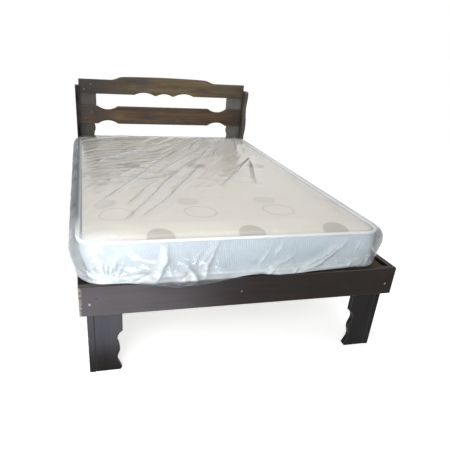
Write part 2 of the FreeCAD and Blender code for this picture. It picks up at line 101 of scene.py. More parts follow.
def mesh_piece(name, points, faces, body, uv=None):
    """Object of points (n, 3) and four-cornered faces (m, 4), smooth, that moves with a body.

    uv holds the cloth coordinate of each face corner (m, 4, 2).
    """
    mesh = bpy.data.meshes.new(name)
    mesh.vertices.add(len(points))
    mesh.vertices.foreach_set("co", np.ascontiguousarray(points, dtype=np.float32).ravel())
    mesh.loops.add(faces.size)
    mesh.loops.foreach_set("vertex_index", np.ascontiguousarray(faces, dtype=np.int32).ravel())
    mesh.polygons.add(len(faces))
    mesh.polygons.foreach_set("loop_start", np.arange(0, faces.size, 4, dtype=np.int32))
    mesh.update(calc_edges=True)
    mesh.shade_smooth()
    if uv is not None:
        layer = mesh.uv_layers.new(name="cloth")
        layer.data.foreach_set("uv", np.ascontiguousarray(uv, dtype=np.float32).ravel())
    piece = bpy.data.objects.new(name, mesh)
    bpy.context.scene.collection.objects.link(piece)
    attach(piece, body)
    print(name, "-", len(points), "points,", len(faces), "faces")
    return piece


def quads(ids, flip=False):
    """Faces between neighbouring rows and columns of a grid of point numbers."""
    corners = [ids[:-1, :-1], ids[:-1, 1:], ids[1:, 1:], ids[1:, :-1]]
    if flip:
        corners = corners[::-1]
    return np.stack(corners, axis=-1).reshape(-1, 4)


print("faces between 3 rows of 3 points:", len(quads(np.arange(9).reshape(3, 3))))

# %% [markdown]
# ## The camera
#
# The photograph was taken from about chest height, a step to the left of the bed's middle and close
# to its foot. The place and the angles below come from matching the corners of the rails, legs,
# posts and crest rail with the picture. The camera was held with a slight tilt, which the roll
# keeps, and the picture was cut from a larger one, so its lens axis is off the middle.

# %% Camera
PICTURE_WIDE = 450
FOCAL_PIXELS = 458.7
AXIS_PIXEL = (200.4, 271.0)
SENSOR_MM = 36.0
YAW, PITCH, ROLL = 0.2707, 0.4637, -0.0654
CAMERA_AT = (-0.6134, -2.5071, 1.2033)

forward = np.array([math.sin(YAW) * math.cos(PITCH), math.cos(YAW) * math.cos(PITCH), -math.sin(PITCH)])
level = np.array([math.cos(YAW), -math.sin(YAW), 0.0])
down = np.cross(forward, level)
right = math.cos(ROLL) * level + math.sin(ROLL) * down
up = math.sin(ROLL) * level - math.cos(ROLL) * down

lens = bpy.data.cameras.new("camera")
lens.sensor_width = SENSOR_MM
lens.lens = FOCAL_PIXELS / PICTURE_WIDE * SENSOR_MM
lens.shift_x = 0.5 - AXIS_PIXEL[0] / PICTURE_WIDE
lens.shift_y = AXIS_PIXEL[1] / PICTURE_WIDE - 0.5
camera = bpy.data.objects.new("camera", lens)
turned = np.eye(4)
turned[:3, 0] = right
turned[:3, 1] = up
turned[:3, 2] = -forward
turned[:3, 3] = CAMERA_AT
camera.matrix_world = Matrix(turned.tolist())
bpy.context.scene.collection.objects.link(camera)
bpy.context.scene.camera = camera
print("lens", round(lens.lens, 1), "mm")

# %% [markdown]
# ## Light, world and floor
#
# The bed stood in a pale room with light from a window at the front left. A soft lamp on that side
# does the work of the window. One that lies on the floor stands for the bright patch that the window
# throws there: it shows only in gloss, as the sheen at the left end of the foot rail. One near the
# ceiling picks out the folds of the bag. The background and the floor are white for the camera and
# for reflections. To everything else the background is a dim even fill, and the floor keeps the
# bed's soft shadow.

# %% Lamps
# Place, point that it shines at, width in metres, watts and colour.
LAMPS = {
    "window": ((-1.05, -2.4, 1.1), (-0.3, -0.9, 0.45), 1.2, 29, "#ffffff"),
    "floor_patch": ((-0.70, -1.76, 0.02), (-0.70, -1.75, 1.0), 1.2, 56, "#e9eeff"),
    "ceiling": ((0.4, 0.25, 3.1), (0.3, 0.1, 0.5), 1.8, 20, "#ffffff"),
}
NEARLY_UPRIGHT = 0.99

for name, (spot, aim, size, watts, tint) in LAMPS.items():
    light = bpy.data.lights.new(name, "AREA")
    light.size = size
    light.energy = watts
    light.color = linear(tint)[:3]
    lamp = bpy.data.objects.new(name, light)
    back = np.array(spot) - np.array(aim)
    back = back / np.linalg.norm(back)
    side = np.array([1.0, 0.0, 0.0])
    if abs(back[2]) < NEARLY_UPRIGHT:
        side = np.cross([0.0, 0.0, 1.0], back)
    side = side / np.linalg.norm(side)
    turned = np.eye(4)
    turned[:3, :3] = np.stack([side, np.cross(back, side), back], axis=1)
    turned[:3, 3] = spot
    lamp.matrix_world = Matrix(turned.tolist())
    lamp.visible_camera = False
    lamp.visible_diffuse = name != "floor_patch"
    bpy.context.scene.collection.objects.link(lamp)
print("lamps:", ", ".join(LAMPS))

# %% World
WORLD_FILL = 0.43


def seen_rays(tree):
    """Socket that is 1 for camera, glossy and transmission rays and 0 for others: their maximum."""
    path = add(tree, "LightPath")
    seen = path.outputs["Is Camera Ray"]
    for other in ("Is Glossy Ray", "Is Transmission Ray"):
        seen = add(tree, "Math", {0: seen, 1: path.outputs[other]}, operation="MAXIMUM").outputs[0]
    return seen


world = bpy.data.worlds.new("pale_room")
world.use_nodes = True
tree = world.node_tree
tree.nodes.clear()
strength = add(tree, "MapRange", {"Value": seen_rays(tree), "To Min": WORLD_FILL, "To Max": 1.0})
sky = add(tree, "Background", {"Color": linear("#ffffff"), "Strength": strength.outputs[0]})
add(tree, "OutputWorld", {"Surface": sky.outputs[0]})
bpy.context.scene.world = world
bpy.context.scene.view_settings.view_transform = "Standard"
print("fill from the background:", WORLD_FILL)

# %% Floor
FLOOR_HALF = 9.0
FLOOR_GLOW = 0.62

# Matt paint, put on with a roller: it scatters the light evenly and mirrors nothing.
paint, tree = new_material("matt_white_floor")
glow = add(tree, "Math", {0: seen_rays(tree), 1: FLOOR_GLOW}, operation="MULTIPLY")
skin = add(tree, "BsdfPrincipled", {
    "Base Color": linear("#f2f2f0"), "Roughness": 0.9, "Specular IOR Level": 0.0,
    "Emission Color": linear("#ffffff"), "Emission Strength": glow.outputs[0]})
add(tree, "OutputMaterial", {"Surface": skin.outputs[0]})

corners = np.array([[-1, -1, 0], [1, -1, 0], [1, 1, 0], [-1, 1, 0]]) * FLOOR_HALF
floor_mesh = bpy.data.meshes.new("floor")
floor_mesh.from_pydata(corners.tolist(), [], [(0, 1, 2, 3)])
floor_mesh.materials.append(paint)
floor = bpy.data.objects.new("floor", floor_mesh)
bpy.context.scene.collection.objects.link(floor)
print("floor", 2 * FLOOR_HALF, "m wide")

# %% [markdown]
# ## Varnished boards
#
# The frame is a cheap tropical hardwood, planed, stained almost black-brown and sprayed with a
# satin varnish. The stain leaves soft lengthways streaks a few centimetres wide and darker pores
# a few millimetres apart. The varnish has a dull, slightly uneven gloss, and it is rubbed thin on
# the sharp edges. The streaks are noise stretched along each board, so there is one material for
# each grain direction, and the rubbed edges are found from the face's direction: a face that is
# tilted half way between the board's broad side and its edge is a bevel.

# %% Stain with its streaks
STREAK_MM = 38.0
STREAK_LONG_MM = 600.0
BLOTCHY = {"From Min": 0.42, "From Max": 0.62}
# Where the painted shade at a board's left and right end begins and where it is full.
LEFT_END_X = (-0.1, -0.5)
RIGHT_END_X = (0.25, 0.6)
AXES = "XYZ"


def stretched(axis, across_mm, along_mm):
    """Mapping scale of a pattern with those widths, in cells for each metre."""
    return [1000 / (along_mm if name == axis else across_mm) for name in AXES]


def stained(tree, place, axis, blotch, dark, light, cast, shaded_ends):
    """Colour socket that runs from dark to light with the streaks and takes the cast in wide patches.

    The last argument gives a colour of painted shade and its share at the left and at the right end of the
    board.
    """
    streak_at = add(tree, "Mapping", {"Vector": place, "Scale": stretched(axis, STREAK_MM, STREAK_LONG_MM)})
    streak = add(tree, "TexNoise", {"Vector": streak_at.outputs[0], "Scale": 1.0, "Detail": 5.0,
                                    "Roughness": 0.6, "Distortion": 0.7})
    spread = add(tree, "MapRange", {"Value": streak.outputs[0], "From Min": 0.3, "From Max": 0.72})
    stain = add(tree, "Mix", {"Factor": spread.outputs[0], 6: linear(dark), 7: linear(light)},
                data_type="RGBA")
    uneven = add(tree, "MapRange", {"Value": blotch.outputs[0], **BLOTCHY})
    stain = add(tree, "Mix", {"Factor": uneven.outputs[0], 6: stain.outputs[2], 7: linear(cast)},
                data_type="RGBA")
    # Painted shade: the board's ends are mixed towards a darker or greyer colour.
    if shaded_ends:
        spot = add(tree, "SeparateXYZ", {0: place})
        for share, (start, stop) in zip(shaded_ends[1:], (LEFT_END_X, RIGHT_END_X)):
            near = add(tree, "MapRange", {"Value": spot.outputs["X"], "From Min": start, "From Max": stop,
                                          "To Max": share})
            stain = add(tree, "Mix", {"Factor": near.outputs[0], 6: stain.outputs[2], 7: linear(shaded_ends[0])},
                        data_type="RGBA")
    return stain.outputs[2]


print("streaks", STREAK_MM, "mm wide,", STREAK_LONG_MM, "mm long")

# %% Rubbed and chipped edges, and painted sheen on the foot rail's top
CHIP_MM = 14.0
CHIPPED_X = {"From Min": -0.636, "From Max": -0.647}
# Where, and how strongly, the foot rail's top is painted lighter as sheen beside its left end.
TOP_SHEEN_X = {"From Min": -0.38, "From Max": -0.62}
TOP_SHEEN_SHARE = 0.4


def bare_wood_and_sheen_share(tree, coords, thin, blotch, rubbed, chips_and_top_sheen):
    """Share of bare wood and of painted sheen: n^2 (1 - n^2) times rubbed, n being the face direction along
    the thin axis.

    On the foot rail the board is also chipped at its left end, and beside it its top takes the rubbed colour
    as painted sheen.
    """
    facing = add(tree, "SeparateXYZ", {0: coords.outputs["Normal"]})
    square = add(tree, "Math", {0: facing.outputs[thin], 1: 2.0}, operation="POWER")
    rest = add(tree, "Math", {0: 1.0, 1: square.outputs[0]}, operation="SUBTRACT")
    bevel = add(tree, "Math", {0: square.outputs[0], 1: rest.outputs[0]}, operation="MULTIPLY")
    patchy = add(tree, "MapRange", {"Value": blotch.outputs[0], **BLOTCHY, "To Min": 0.4, "To Max": rubbed})
    wear_and_sheen = add(tree, "Math", {0: bevel.outputs[0], 1: patchy.outputs[0]}, operation="MULTIPLY",
               use_clamp=True)
    if not chips_and_top_sheen:
        return wear_and_sheen.outputs[0]
    place = coords.outputs["Object"]
    spot = add(tree, "SeparateXYZ", {0: place})
    end = add(tree, "MapRange", {"Value": spot.outputs["X"], **CHIPPED_X})
    chip = add(tree, "TexNoise", {"Vector": place, "Scale": 1000 / CHIP_MM, "Detail": 3.0})
    chip = add(tree, "MapRange", {"Value": chip.outputs[0], "From Min": 0.4, "From Max": 0.55,
                                  "To Max": chips_and_top_sheen})
    chip = add(tree, "Math", {0: end.outputs[0], 1: chip.outputs[0]}, operation="MULTIPLY")
    # Painted sheen: upward faces near the left end take the rubbed colour.
    upward = add(tree, "MapRange", {"Value": facing.outputs["Z"], "From Min": 0.5,
                                    "To Max": TOP_SHEEN_SHARE * chips_and_top_sheen})
    beside = add(tree, "MapRange", {"Value": spot.outputs["X"], **TOP_SHEEN_X})
    dull = add(tree, "Math", {0: upward.outputs[0], 1: beside.outputs[0]}, operation="MULTIPLY")
    for more in (chip, dull):
        wear_and_sheen = add(tree, "Math", {0: wear_and_sheen.outputs[0], 1: more.outputs[0]}, operation="MAXIMUM")
    return wear_and_sheen.outputs[0]


print("chips", CHIP_MM, "mm wide")

# %% Varnished and raw wood
PORE_MM = 4.5
PORE_LONG_MM = 150.0
BLOTCH_MM = 260.0
PORE_DEEP = 0.0006
VARNISH_IOR = 1.5


def board_material(name, axis, thin, dark, light, cast, rubbed, gloss, shine, chips_and_top_sheen=0.0, shaded_ends=None):
    """Wood with streaks along axis; thin is the axis through the board's broad face.

    The pores cut the stain, which goes to the rubbed colour on edges rubbed bare, and on the foot rail also
    as painted sheen on its top near the left end. Gloss is the roughness, a little higher or lower in wide
    patches, and shine is the strength of the varnish's mirror.
    """
    material, tree = new_material(name)
    coords = add(tree, "TexCoord")
    place = coords.outputs["Object"]
    blotch = add(tree, "TexNoise", {"Vector": place, "Scale": 1000 / BLOTCH_MM, "Detail": 3.0})
    pore_at = add(tree, "Mapping", {"Vector": place, "Scale": stretched(axis, PORE_MM, PORE_LONG_MM)})
    pore = add(tree, "TexNoise", {"Vector": pore_at.outputs[0], "Scale": 1.0, "Detail": 3.0,
                                  "Roughness": 0.65})
    deep = add(tree, "MapRange", {"Value": pore.outputs[0], "From Min": 0.35, "From Max": 0.6,
                                  "To Min": 0.75, "To Max": 1.1})
    stain = stained(tree, place, axis, blotch, dark, light, cast, shaded_ends)
    grained = add(tree, "Mix", {"Factor": 1.0, 6: stain, 7: deep.outputs[0]},
                  data_type="RGBA", blend_type="MULTIPLY")
    wear_and_sheen = bare_wood_and_sheen_share(tree, coords, thin, blotch, rubbed, chips_and_top_sheen)
    # The rubbed colour stands for bare wood, and on the foot rail's top also for painted sheen.
    worn_and_sheen = add(tree, "Mix", {"Factor": wear_and_sheen, 6: grained.outputs[2], 7: linear("#8d8378")}, data_type="RGBA")
    sheen = add(tree, "MapRange", {"Value": blotch.outputs[0], "From Min": 0.3, "From Max": 0.7,
                                   "To Min": gloss - 0.07, "To Max": gloss + 0.09})
    grain = add(tree, "Bump", {"Height": pore.outputs[0], "Strength": 0.35, "Distance": PORE_DEEP})
    skin = add(tree, "BsdfPrincipled", {
        "Base Color": worn_and_sheen.outputs[2], "Roughness": sheen.outputs[0], "Normal": grain.outputs[0],
        "IOR": VARNISH_IOR, "Specular IOR Level": shine})
    add(tree, "OutputMaterial", {"Surface": skin.outputs[0]})
    return material


print("pores", PORE_MM, "mm apart")

# %% Tones of the boards
# Name, dark and light streak, cast, rubbing, roughness, mirror, share of chips and of painted sheen on the
# top beside them, and a colour of painted shade for each end with its share at the left and the right end.
# The rails and legs have thick varnish. The headboard's boards have lighter, greyer stains: partly a paler
# tone of their own, partly painted light and sheen for the stronger light that falls on them.
# The slats and what holds them are sawn and left bare, so they look rough.
DARK = ("varnished_hardwood", "#150f0c", "#251b16", "#1f1a18", 2.6, 0.42, 0.16)
# Foot rail: the chips at its left end are wear, and the light top beside them is painted sheen.
FOOT = ("knocked_varnished_hardwood", "#160f0c", "#281c17", "#201a17", 2.6, 0.5, 0.16, 0.8)
LEG = ("leg_varnished_hardwood", "#141112", "#231f1f", "#1e1e22", 0.5, 0.44, 0.105)
# Crest and middle rail: lighter stains, partly painted light, with painted shade at their ends.
WARM = ("thinly_varnished_hardwood", "#4f4235", "#8a7a5f", "#5c554e", 1.2, 0.46, 0.2, 0.0,
        ("#3c3936", 0.9, 0.45))
BROWN = ("brown_varnished_hardwood", "#47382c", "#856d55", "#554a43", 1.2, 0.46, 0.2, 0.0,
         ("#2f261f", 0.1, 0.6))
# Left post and right wing grey, right post palest: painted sheen and painted light on their stain.
GREY = ("bleached_varnished_hardwood", "#4d4843", "#6c665f", "#5e5a56", 1.2, 0.46, 0.25)
PALE = ("faded_varnished_hardwood", "#6a6661", "#8d8983", "#7c7975", 1.2, 0.46, 0.25)
RAW = ("sawn_hardwood", "#32271f", "#4b3b2e", "#3d3128", 0.6, 0.75, 0.2)
LAY = {
    "foot_rail": ("X", "Y", FOOT), "head_rail": ("X", "Y", DARK), "side_rail": ("Y", "X", DARK),
    "leg_face": ("Z", "Y", LEG), "leg_side": ("Z", "X", LEG),
    "wing_left": ("Z", "X", DARK), "wing_right": ("Z", "X", GREY),
    "crest_rail": ("X", "Y", WARM), "middle_rail": ("X", "Y", BROWN),
    "post_left": ("Z", "Y", GREY), "post_right": ("Z", "Y", PALE),
    "slat": ("X", "Z", RAW), "beam_block": ("X", "Y", RAW), "cleat": ("Y", "X", RAW),
    "centre_beam": ("Y", "Z", RAW),
}


def dress(name, material):
    """Give a CAD part its finish."""
    nodes[name].data.materials.clear()
    nodes[name].data.materials.append(material)


finishes = {}
for name in nodes:
    for start, (axis, thin, tone) in LAY.items():
        if not name.startswith(start) or name.endswith("screws"):
            continue
        kind = "_".join((tone[0], axis.lower(), thin.lower()))
        if kind not in finishes:
            finishes[kind] = board_material(kind, axis, thin, *tone[1:])
        dress(name, finishes[kind])
print("wood finishes:", ", ".join(finishes))

# %% [markdown]
# ## Screws
#
# The boards are held with zinc-plated countersunk screws. Plating is bright but fine grained, so
# the heads catch the light as small pale spots with a soft edge. In the foot rail the upper heads
# were varnished over with the board, so there the plating shows on the lower ones alone.

# %% Zinc plated steel
# The grain of the plating is too fine to show, so it is drawn coarser.
PLATE_GRAIN_MM = 1.2
PLATE_GRAIN = {"Scale": 1000 / PLATE_GRAIN_MM, "Detail": 2.0}
BARE_BELOW = 0.338
screw_groups = [name for name in nodes if name.endswith("screws")]

# Steel, plated in a bath: a grey mirror, blurred by the grain.
zinc, tree = new_material("zinc_plated_steel")
coords = add(tree, "TexCoord")
grit = add(tree, "TexNoise", {"Vector": coords.outputs["Object"], **PLATE_GRAIN})
tone = add(tree, "Mix", {"Factor": grit.outputs[0], 6: linear("#48443f"), 7: linear("#6b6660")},
           data_type="RGBA")
dull = add(tree, "MapRange", {"Value": grit.outputs[0], "To Min": 0.28, "To Max": 0.5})
skin = add(tree, "BsdfPrincipled", {"Base Color": tone.outputs[2], "Roughness": dull.outputs[0],
                                    "Metallic": 1.0})
add(tree, "OutputMaterial", {"Surface": skin.outputs[0]})
for name in screw_groups:
    dress(name, zinc)

# The same heads, sprayed over with the varnish above a height: as dark as the board around them.
coated, tree = new_material("varnished_screw_heads")
coords = add(tree, "TexCoord")
height = add(tree, "SeparateXYZ", {0: coords.outputs["Object"]})
bare = add(tree, "Math", {0: height.outputs["Z"], 1: BARE_BELOW}, operation="LESS_THAN")
tone = add(tree, "Mix", {"Factor": bare.outputs[0], 6: linear("#1d1613"), 7: linear("#8f8a84")},
           data_type="RGBA")
grit = add(tree, "TexNoise", {"Vector": coords.outputs["Object"], **PLATE_GRAIN})
dull = add(tree, "MapRange", {"Value": grit.outputs[0], "To Min": 0.36, "To Max": 0.48})
skin = add(tree, "BsdfPrincipled", {"Base Color": tone.outputs[2], "Roughness": dull.outputs[0],
                                    "Specular IOR Level": DARK[-1]})
add(tree, "OutputMaterial", {"Surface": skin.outputs[0]})
dress("foot_rail_screws", coated)
print("screw groups:", len(screw_groups))

# %% [markdown]
# ## Shapes that the soft pieces share
#
# Seen from above, every layer of the mattress is the same oblong with round corners, and its top
# leans a little to the foot and the left. One function sets points into the bed with that lean, one
# walks round the outline, one presses a square grid into it, and one gives the distance in from the
# edge. Two more make smooth random hills and thin creases for everything that is a little uneven.

# %% Place and lean of the mattress
seam_low, seam_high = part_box("piping_top")
MIDDLE = np.array([(seam_low.x + seam_high.x) / 2, (seam_low.y + seam_high.y) / 2])
HALF = np.array([(seam_high.x - seam_low.x) / 2, (seam_high.y - seam_low.y) / 2])
CORNER = 0.070
SEAM_TOP = (seam_low.z + seam_high.z) / 2
SEAM_BASE = sum(corner.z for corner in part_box("piping_bottom")) / 2
RAIL_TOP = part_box("foot_rail")[1].z
SLAT_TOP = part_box("slat_01")[1].z
LEAN_AT_FOOT = np.array([-0.021, -0.014])
LEAN_AT_HEAD = np.array([-0.002, -0.014])
WIDER_AT_FOOT = 0.016


def ramp(value, start, stop):
    """Ramp 3t^2 - 2t^3 from 0 at start to 1 at stop."""
    t = np.clip((value - start) / (stop - start), 0, 1)
    return t * t * (3 - 2 * t)


def placed(x, y, z):
    """Points of the bed from points about the mattress's middle, moved by its lean.

    The lean is a ramp from the rail's top to the top seam, and goes evenly from head to foot,
    where the top also spreads a little.
    """
    head = (y / HALF[1] + 1) / 2
    rise = ramp(z, RAIL_TOP, SEAM_TOP)
    lean = [rise * (foot + (far - foot) * head) for foot, far in zip(LEAN_AT_FOOT, LEAN_AT_HEAD)]
    spread = x * (1 + WIDER_AT_FOOT * rise * (1 - head))
    points = np.broadcast_arrays(MIDDLE[0] + spread + lean[0], MIDDLE[1] + y + lean[1], z)
    return np.stack(points, axis=-1).reshape(-1, 3)


print("mattress", (2 * HALF).round(3), "middle", MIDDLE.round(4))

# %% Outline and grid


def outline(half_x, half_y, radius, count):
    """Points, outward directions and run of a round-cornered oblong, evenly spaced.

    The direction's angle a stays on each straight side and grows by a quarter turn round each
    corner. A point is a spot on the inner rectangle plus radius * (cos a, sin a).
    """
    in_x = half_x - radius
    in_y = half_y - radius
    arc = radius * math.pi / 2
    knots = np.concatenate([[0], np.cumsum([2 * in_y, arc, 2 * in_x, arc] * 2)])
    turns = np.array([0, 0, 1, 1, 2, 2, 3, 3, 4]) * math.pi / 2
    spot_x = in_x * np.array([1, 1, 1, -1, -1, -1, -1, 1, 1])
    spot_y = in_y * np.array([-1, 1, 1, 1, 1, -1, -1, -1, -1])
    run = np.linspace(0, knots[-1], count, endpoint=False)
    angle = np.interp(run, knots, turns)
    out = np.stack([np.cos(angle), np.sin(angle)])
    spot = np.stack([np.interp(run, knots, spot_x), np.interp(run, knots, spot_y)])
    return spot + radius * out, out, run, knots[-1]


def rounded_grid(half_x, half_y, radius, columns, rows):
    """Square grid pressed into a round-cornered oblong.

    In each corner square the point q, counted from the inner corner, is drawn in by max(q) / |q|.
    """
    x, y = np.meshgrid(np.linspace(-half_x, half_x, columns), np.linspace(-half_y, half_y, rows))
    core_x = np.clip(x, radius - half_x, half_x - radius)
    core_y = np.clip(y, radius - half_y, half_y - radius)
    long = np.hypot(x - core_x, y - core_y)
    pull = np.maximum(np.abs(x - core_x), np.abs(y - core_y)) / np.where(long > 0, long, 1)
    return core_x + (x - core_x) * pull, core_y + (y - core_y) * pull


def inset(x, y, half_x, half_y, radius):
    """Distance in from the edge of a round-cornered oblong: radius - |max(q, 0)| - min(max(q), 0)."""
    q_x = np.abs(x) - (half_x - radius)
    q_y = np.abs(y) - (half_y - radius)
    return radius - np.hypot(np.maximum(q_x, 0), np.maximum(q_y, 0)) - np.minimum(np.maximum(q_x, q_y), 0)


print("way round the mattress:", round(outline(*HALF, CORNER, 4)[3], 3), "m")

# %% Hills and creases
LATTICE_DEEP = 64


def hills(u, v, seed, period=512):
    """Smooth random hills from -1 to 1: lattice numbers joined by the ramp 3t^2 - 2t^3."""
    table = np.random.default_rng(seed).uniform(-1, 1, (period, LATTICE_DEEP))
    i = np.floor(u).astype(int)
    j = np.floor(v).astype(int)
    a = (u - i) ** 2 * (3 - 2 * (u - i))
    b = (v - j) ** 2 * (3 - 2 * (v - j))
    first, second = i % period, (i + 1) % period
    low, high = j % LATTICE_DEEP, (j + 1) % LATTICE_DEEP
    near = table[first, low] * (1 - a) + table[second, low] * a
    far = table[first, high] * (1 - a) + table[second, high] * a
    return near * (1 - b) + far * b


def creases(u, v, seed, sharp, period=512):
    """Thin ridges along the lines where the hills pass through zero: (1 - |hills|) ^ sharp."""
    return (1 - np.abs(hills(u, v, seed, period))) ** sharp


print("hills repeat every", LATTICE_DEEP, "steps of v")

# %% [markdown]
# ## The quilted top
#
# The top of the mattress is a knitted ticking over soft wadding, sewn down round its edge under
# the piping. It swells up steeply at the seam and is nearly flat in the middle. A closed pad is
# drawn a little too low, then Blender's cloth simulation blows it up from inside while the seam
# and the underside are held, as the wadding does on the real one. The base is a plain flat pad.

# %% Closed pads and their swelling
CLOTH_STEPS = 20
CLOTH_PRESSURE = 4.0


def pillow(name, x, y, top, base):
    """Closed pad: an upper and a lower sheet over the same grid, which share their rim."""
    upper = np.arange(x.size).reshape(x.shape)
    lower = upper.copy()
    inner = (slice(1, -1), slice(1, -1))
    lower[inner] = x.size + np.arange(lower[inner].size).reshape(lower[inner].shape)
    points = np.concatenate([placed(x, y, top), placed(x[inner], y[inner], base[inner])])
    return mesh_piece(name, points, np.concatenate([quads(upper), quads(lower, True)]), "mattress")


def swell(piece, free, cap):
    """Blow up a closed pad by cloth pressure; only the free points move, and no more than cap."""
    count = len(piece.data.vertices)
    rest = np.empty(count * 3)
    piece.data.vertices.foreach_get("co", rest)
    held = piece.vertex_groups.new(name="sewn")
    held.add([int(point) for point in np.flatnonzero(~free)], 1.0, "REPLACE")
    cloth = piece.modifiers.new("wadding", "CLOTH")
    cloth.settings.quality = 4
    cloth.settings.use_pressure = True
    cloth.settings.uniform_pressure_force = CLOTH_PRESSURE
    cloth.settings.vertex_group_mass = "sewn"
    cloth.settings.effector_weights.gravity = 0.0
    cloth.collision_settings.use_collision = False
    for step in range(1, CLOTH_STEPS + 1):
        bpy.context.scene.frame_set(step)
    blown = np.empty(count * 3)
    piece.evaluated_get(bpy.context.evaluated_depsgraph_get()).data.vertices.foreach_get("co", blown)
    piece.modifiers.remove(cloth)
    piece.vertex_groups.clear()
    bpy.context.scene.frame_set(1)
    move = (blown - rest).reshape(-1, 3)
    far = np.linalg.norm(move, axis=1, keepdims=True)
    move = move * np.minimum(1, cap / np.maximum(far, 1e-9))
    piece.data.vertices.foreach_set("co", (rest.reshape(-1, 3) + move).ravel().astype(np.float32))
    piece.data.update()
    print(piece.name, "swelled by up to", round(float(np.linalg.norm(move, axis=1).max()) * 1000, 1), "mm")


print("cloth steps:", CLOTH_STEPS)

# %% Top and base pads
PAD_HALF = HALF - 0.0145
PAD_CORNER = 0.055
PAD_GRID = (76, 120)
PAD_CROWN = 0.017
PAD_EDGE = 0.13
SWELL_CAP = 0.009
SEWN_WIDE = 0.002
PUCKER_HIGH, PUCKER_WIDE = 0.0015, 0.05
LUMP_HIGH, LUMP_WIDE = 0.0012, 0.3
BASE_LIFT, BASE_ROUND = 0.004, 0.01

pad_x, pad_y = rounded_grid(*PAD_HALF, PAD_CORNER, *PAD_GRID)
pad_in = inset(pad_x, pad_y, *PAD_HALF, PAD_CORNER)
rise = np.sqrt(1 - (1 - np.clip(pad_in / PAD_EDGE, 0, 1)) ** 2)
pucker = PUCKER_HIGH * hills(pad_x / PUCKER_WIDE, pad_y / PUCKER_WIDE, 3)
pucker = pucker * np.exp(-pad_in / PUCKER_WIDE) * (pad_in > 0)
lumps = LUMP_HIGH * hills(pad_x / LUMP_WIDE, pad_y / LUMP_WIDE, 4) * rise
pad_top = SEAM_TOP + PAD_CROWN * rise + pucker + lumps
top_pad = pillow("quilted_top", pad_x, pad_y, pad_top, np.full_like(pad_x, SEAM_TOP))
free = np.zeros(len(top_pad.data.vertices), dtype=bool)
free[:pad_x.size] = (pad_in > SEWN_WIDE).ravel()
swell(top_pad, free, SWELL_CAP)
finer = top_pad.modifiers.new("finer", "SUBSURF")
finer.levels = 1
finer.render_levels = 1
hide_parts("mattress_top_panel")

base_low, base_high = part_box("mattress_bottom_panel")
base_pad = pillow("base_pad", pad_x, pad_y, np.full_like(pad_x, base_high.z),
                  base_low.z + BASE_LIFT * np.exp(-pad_in / BASE_ROUND))
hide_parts("mattress_bottom_panel")

# %% [markdown]
# ## Border and piping
#
# A band of ribbed cloth is sewn round the side of the mattress, and a fat white tape is folded over
# the seams above and below it. Both are profiles carried round the outline. The band bows out a
# little between its seams, because the foam behind it is squeezed by the stitching.

# %% Profiles carried round
BAND_AROUND = 700
WAVES_AROUND = 240
WAVES_UP = 40
SEAM_IN = 0.007


def carried(name, profile_out, profile_z, wobble):
    """Closed profile (out, z) carried round the seam: point = outline + out * direction, at height z."""
    spot, out, run, length = outline(*(HALF - SEAM_IN), CORNER - SEAM_IN, BAND_AROUND)
    uneven = hills(run / length * WAVES_AROUND, profile_z[:, None] * WAVES_UP, 9, WAVES_AROUND)
    away = profile_out[:, None] + wobble * uneven
    points = placed(spot[0] + away * out[0], spot[1] + away * out[1], profile_z[:, None])
    ids = np.arange(away.size).reshape(away.shape)
    ids = np.vstack([ids, ids[:1]])
    ids = np.hstack([ids, ids[:, :1]])
    loop = np.concatenate([[0], np.cumsum(np.hypot(np.diff(profile_out, append=profile_out[:1]),
                                                   np.diff(profile_z, append=profile_z[:1])))])
    along = np.append(run, length)
    cloth = np.stack(np.meshgrid(along, loop), axis=-1)
    uv = np.stack([cloth[:-1, :-1], cloth[:-1, 1:], cloth[1:, 1:], cloth[1:, :-1]], axis=2)
    return mesh_piece(name, points, quads(ids), "mattress", uv.reshape(-1, 4, 2))


print("points round the seam:", BAND_AROUND)

# %% Border band and piping tapes
BAND_POINTS = 15
BAND_BOW = 0.005
BAND_THICK = 0.010
BAND_GAP = 0.004
BAND_WAVE = 0.0012
TAPE_POINTS = 14
TAPE_RADIUS = 0.0072
TAPE_WAVE = 0.0006
TAPE_CLEAR = 0.0005

share = np.linspace(0, 1, BAND_POINTS)
band_z = SEAM_BASE + BAND_GAP + share * (SEAM_TOP - SEAM_BASE - 2 * BAND_GAP)
band_out = BAND_BOW * (1 - (2 * share - 1) ** 2)
band = carried("ribbed_border", np.concatenate([band_out, np.full(BAND_POINTS, -BAND_THICK)]),
               np.concatenate([band_z, band_z[::-1]]), BAND_WAVE)
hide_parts("mattress_border", "mattress_core")

ring = np.linspace(0, 2 * math.pi, TAPE_POINTS, endpoint=False)
tapes = (("top_piping", "piping_top", SEAM_TOP), ("base_piping", "piping_bottom", SEAM_BASE))
for name, node, height in tapes:
    radius = min(TAPE_RADIUS, height - SLAT_TOP - TAPE_CLEAR)
    tape = carried(name, radius * np.cos(ring), height + radius * np.sin(ring), TAPE_WAVE)
    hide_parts(node)

# %% [markdown]
# ## Ticking, ribbed cloth and tape
#
# The ticking is an ivory knit printed with grey-beige spots and thin rings, the border a pale
# blue-white rib knit and the piping a plain white woven tape. Spots and rings are plain lattices:
# each point is folded into its own cell, and its distance from the cell's middle says whether it
# lies in a spot or on a ring. The tape at the base gets the border's darker blue-grey cloth as
# painted shade, since it lies in shadow under the bag.

# %% Printed ticking
# Loops of the knit are under 2 mm wide, too fine to show, so they are drawn coarser.
KNIT_MM = 7.0
KNIT = {"Scale": 1000 / KNIT_MM, "Detail": 2.0}
PRINT_SOFT = 0.003
# Middle of one spot, pitch both ways, radius, half the width of a ring's line, strength and colour.
PRINT = {
    "dark_spot": ((-0.343, -0.966), (0.357, 0.96), 0.054, 0.0, 0.60, "#a39d92"),
    "pale_spot": ((-0.170, -0.630), (0.357, 0.48), 0.050, 0.0, 0.26, "#a39d92"),
    "ring": ((-0.145, -0.765), (0.345, 0.48), 0.066, 0.0042, 0.40, "#a7a196"),
}

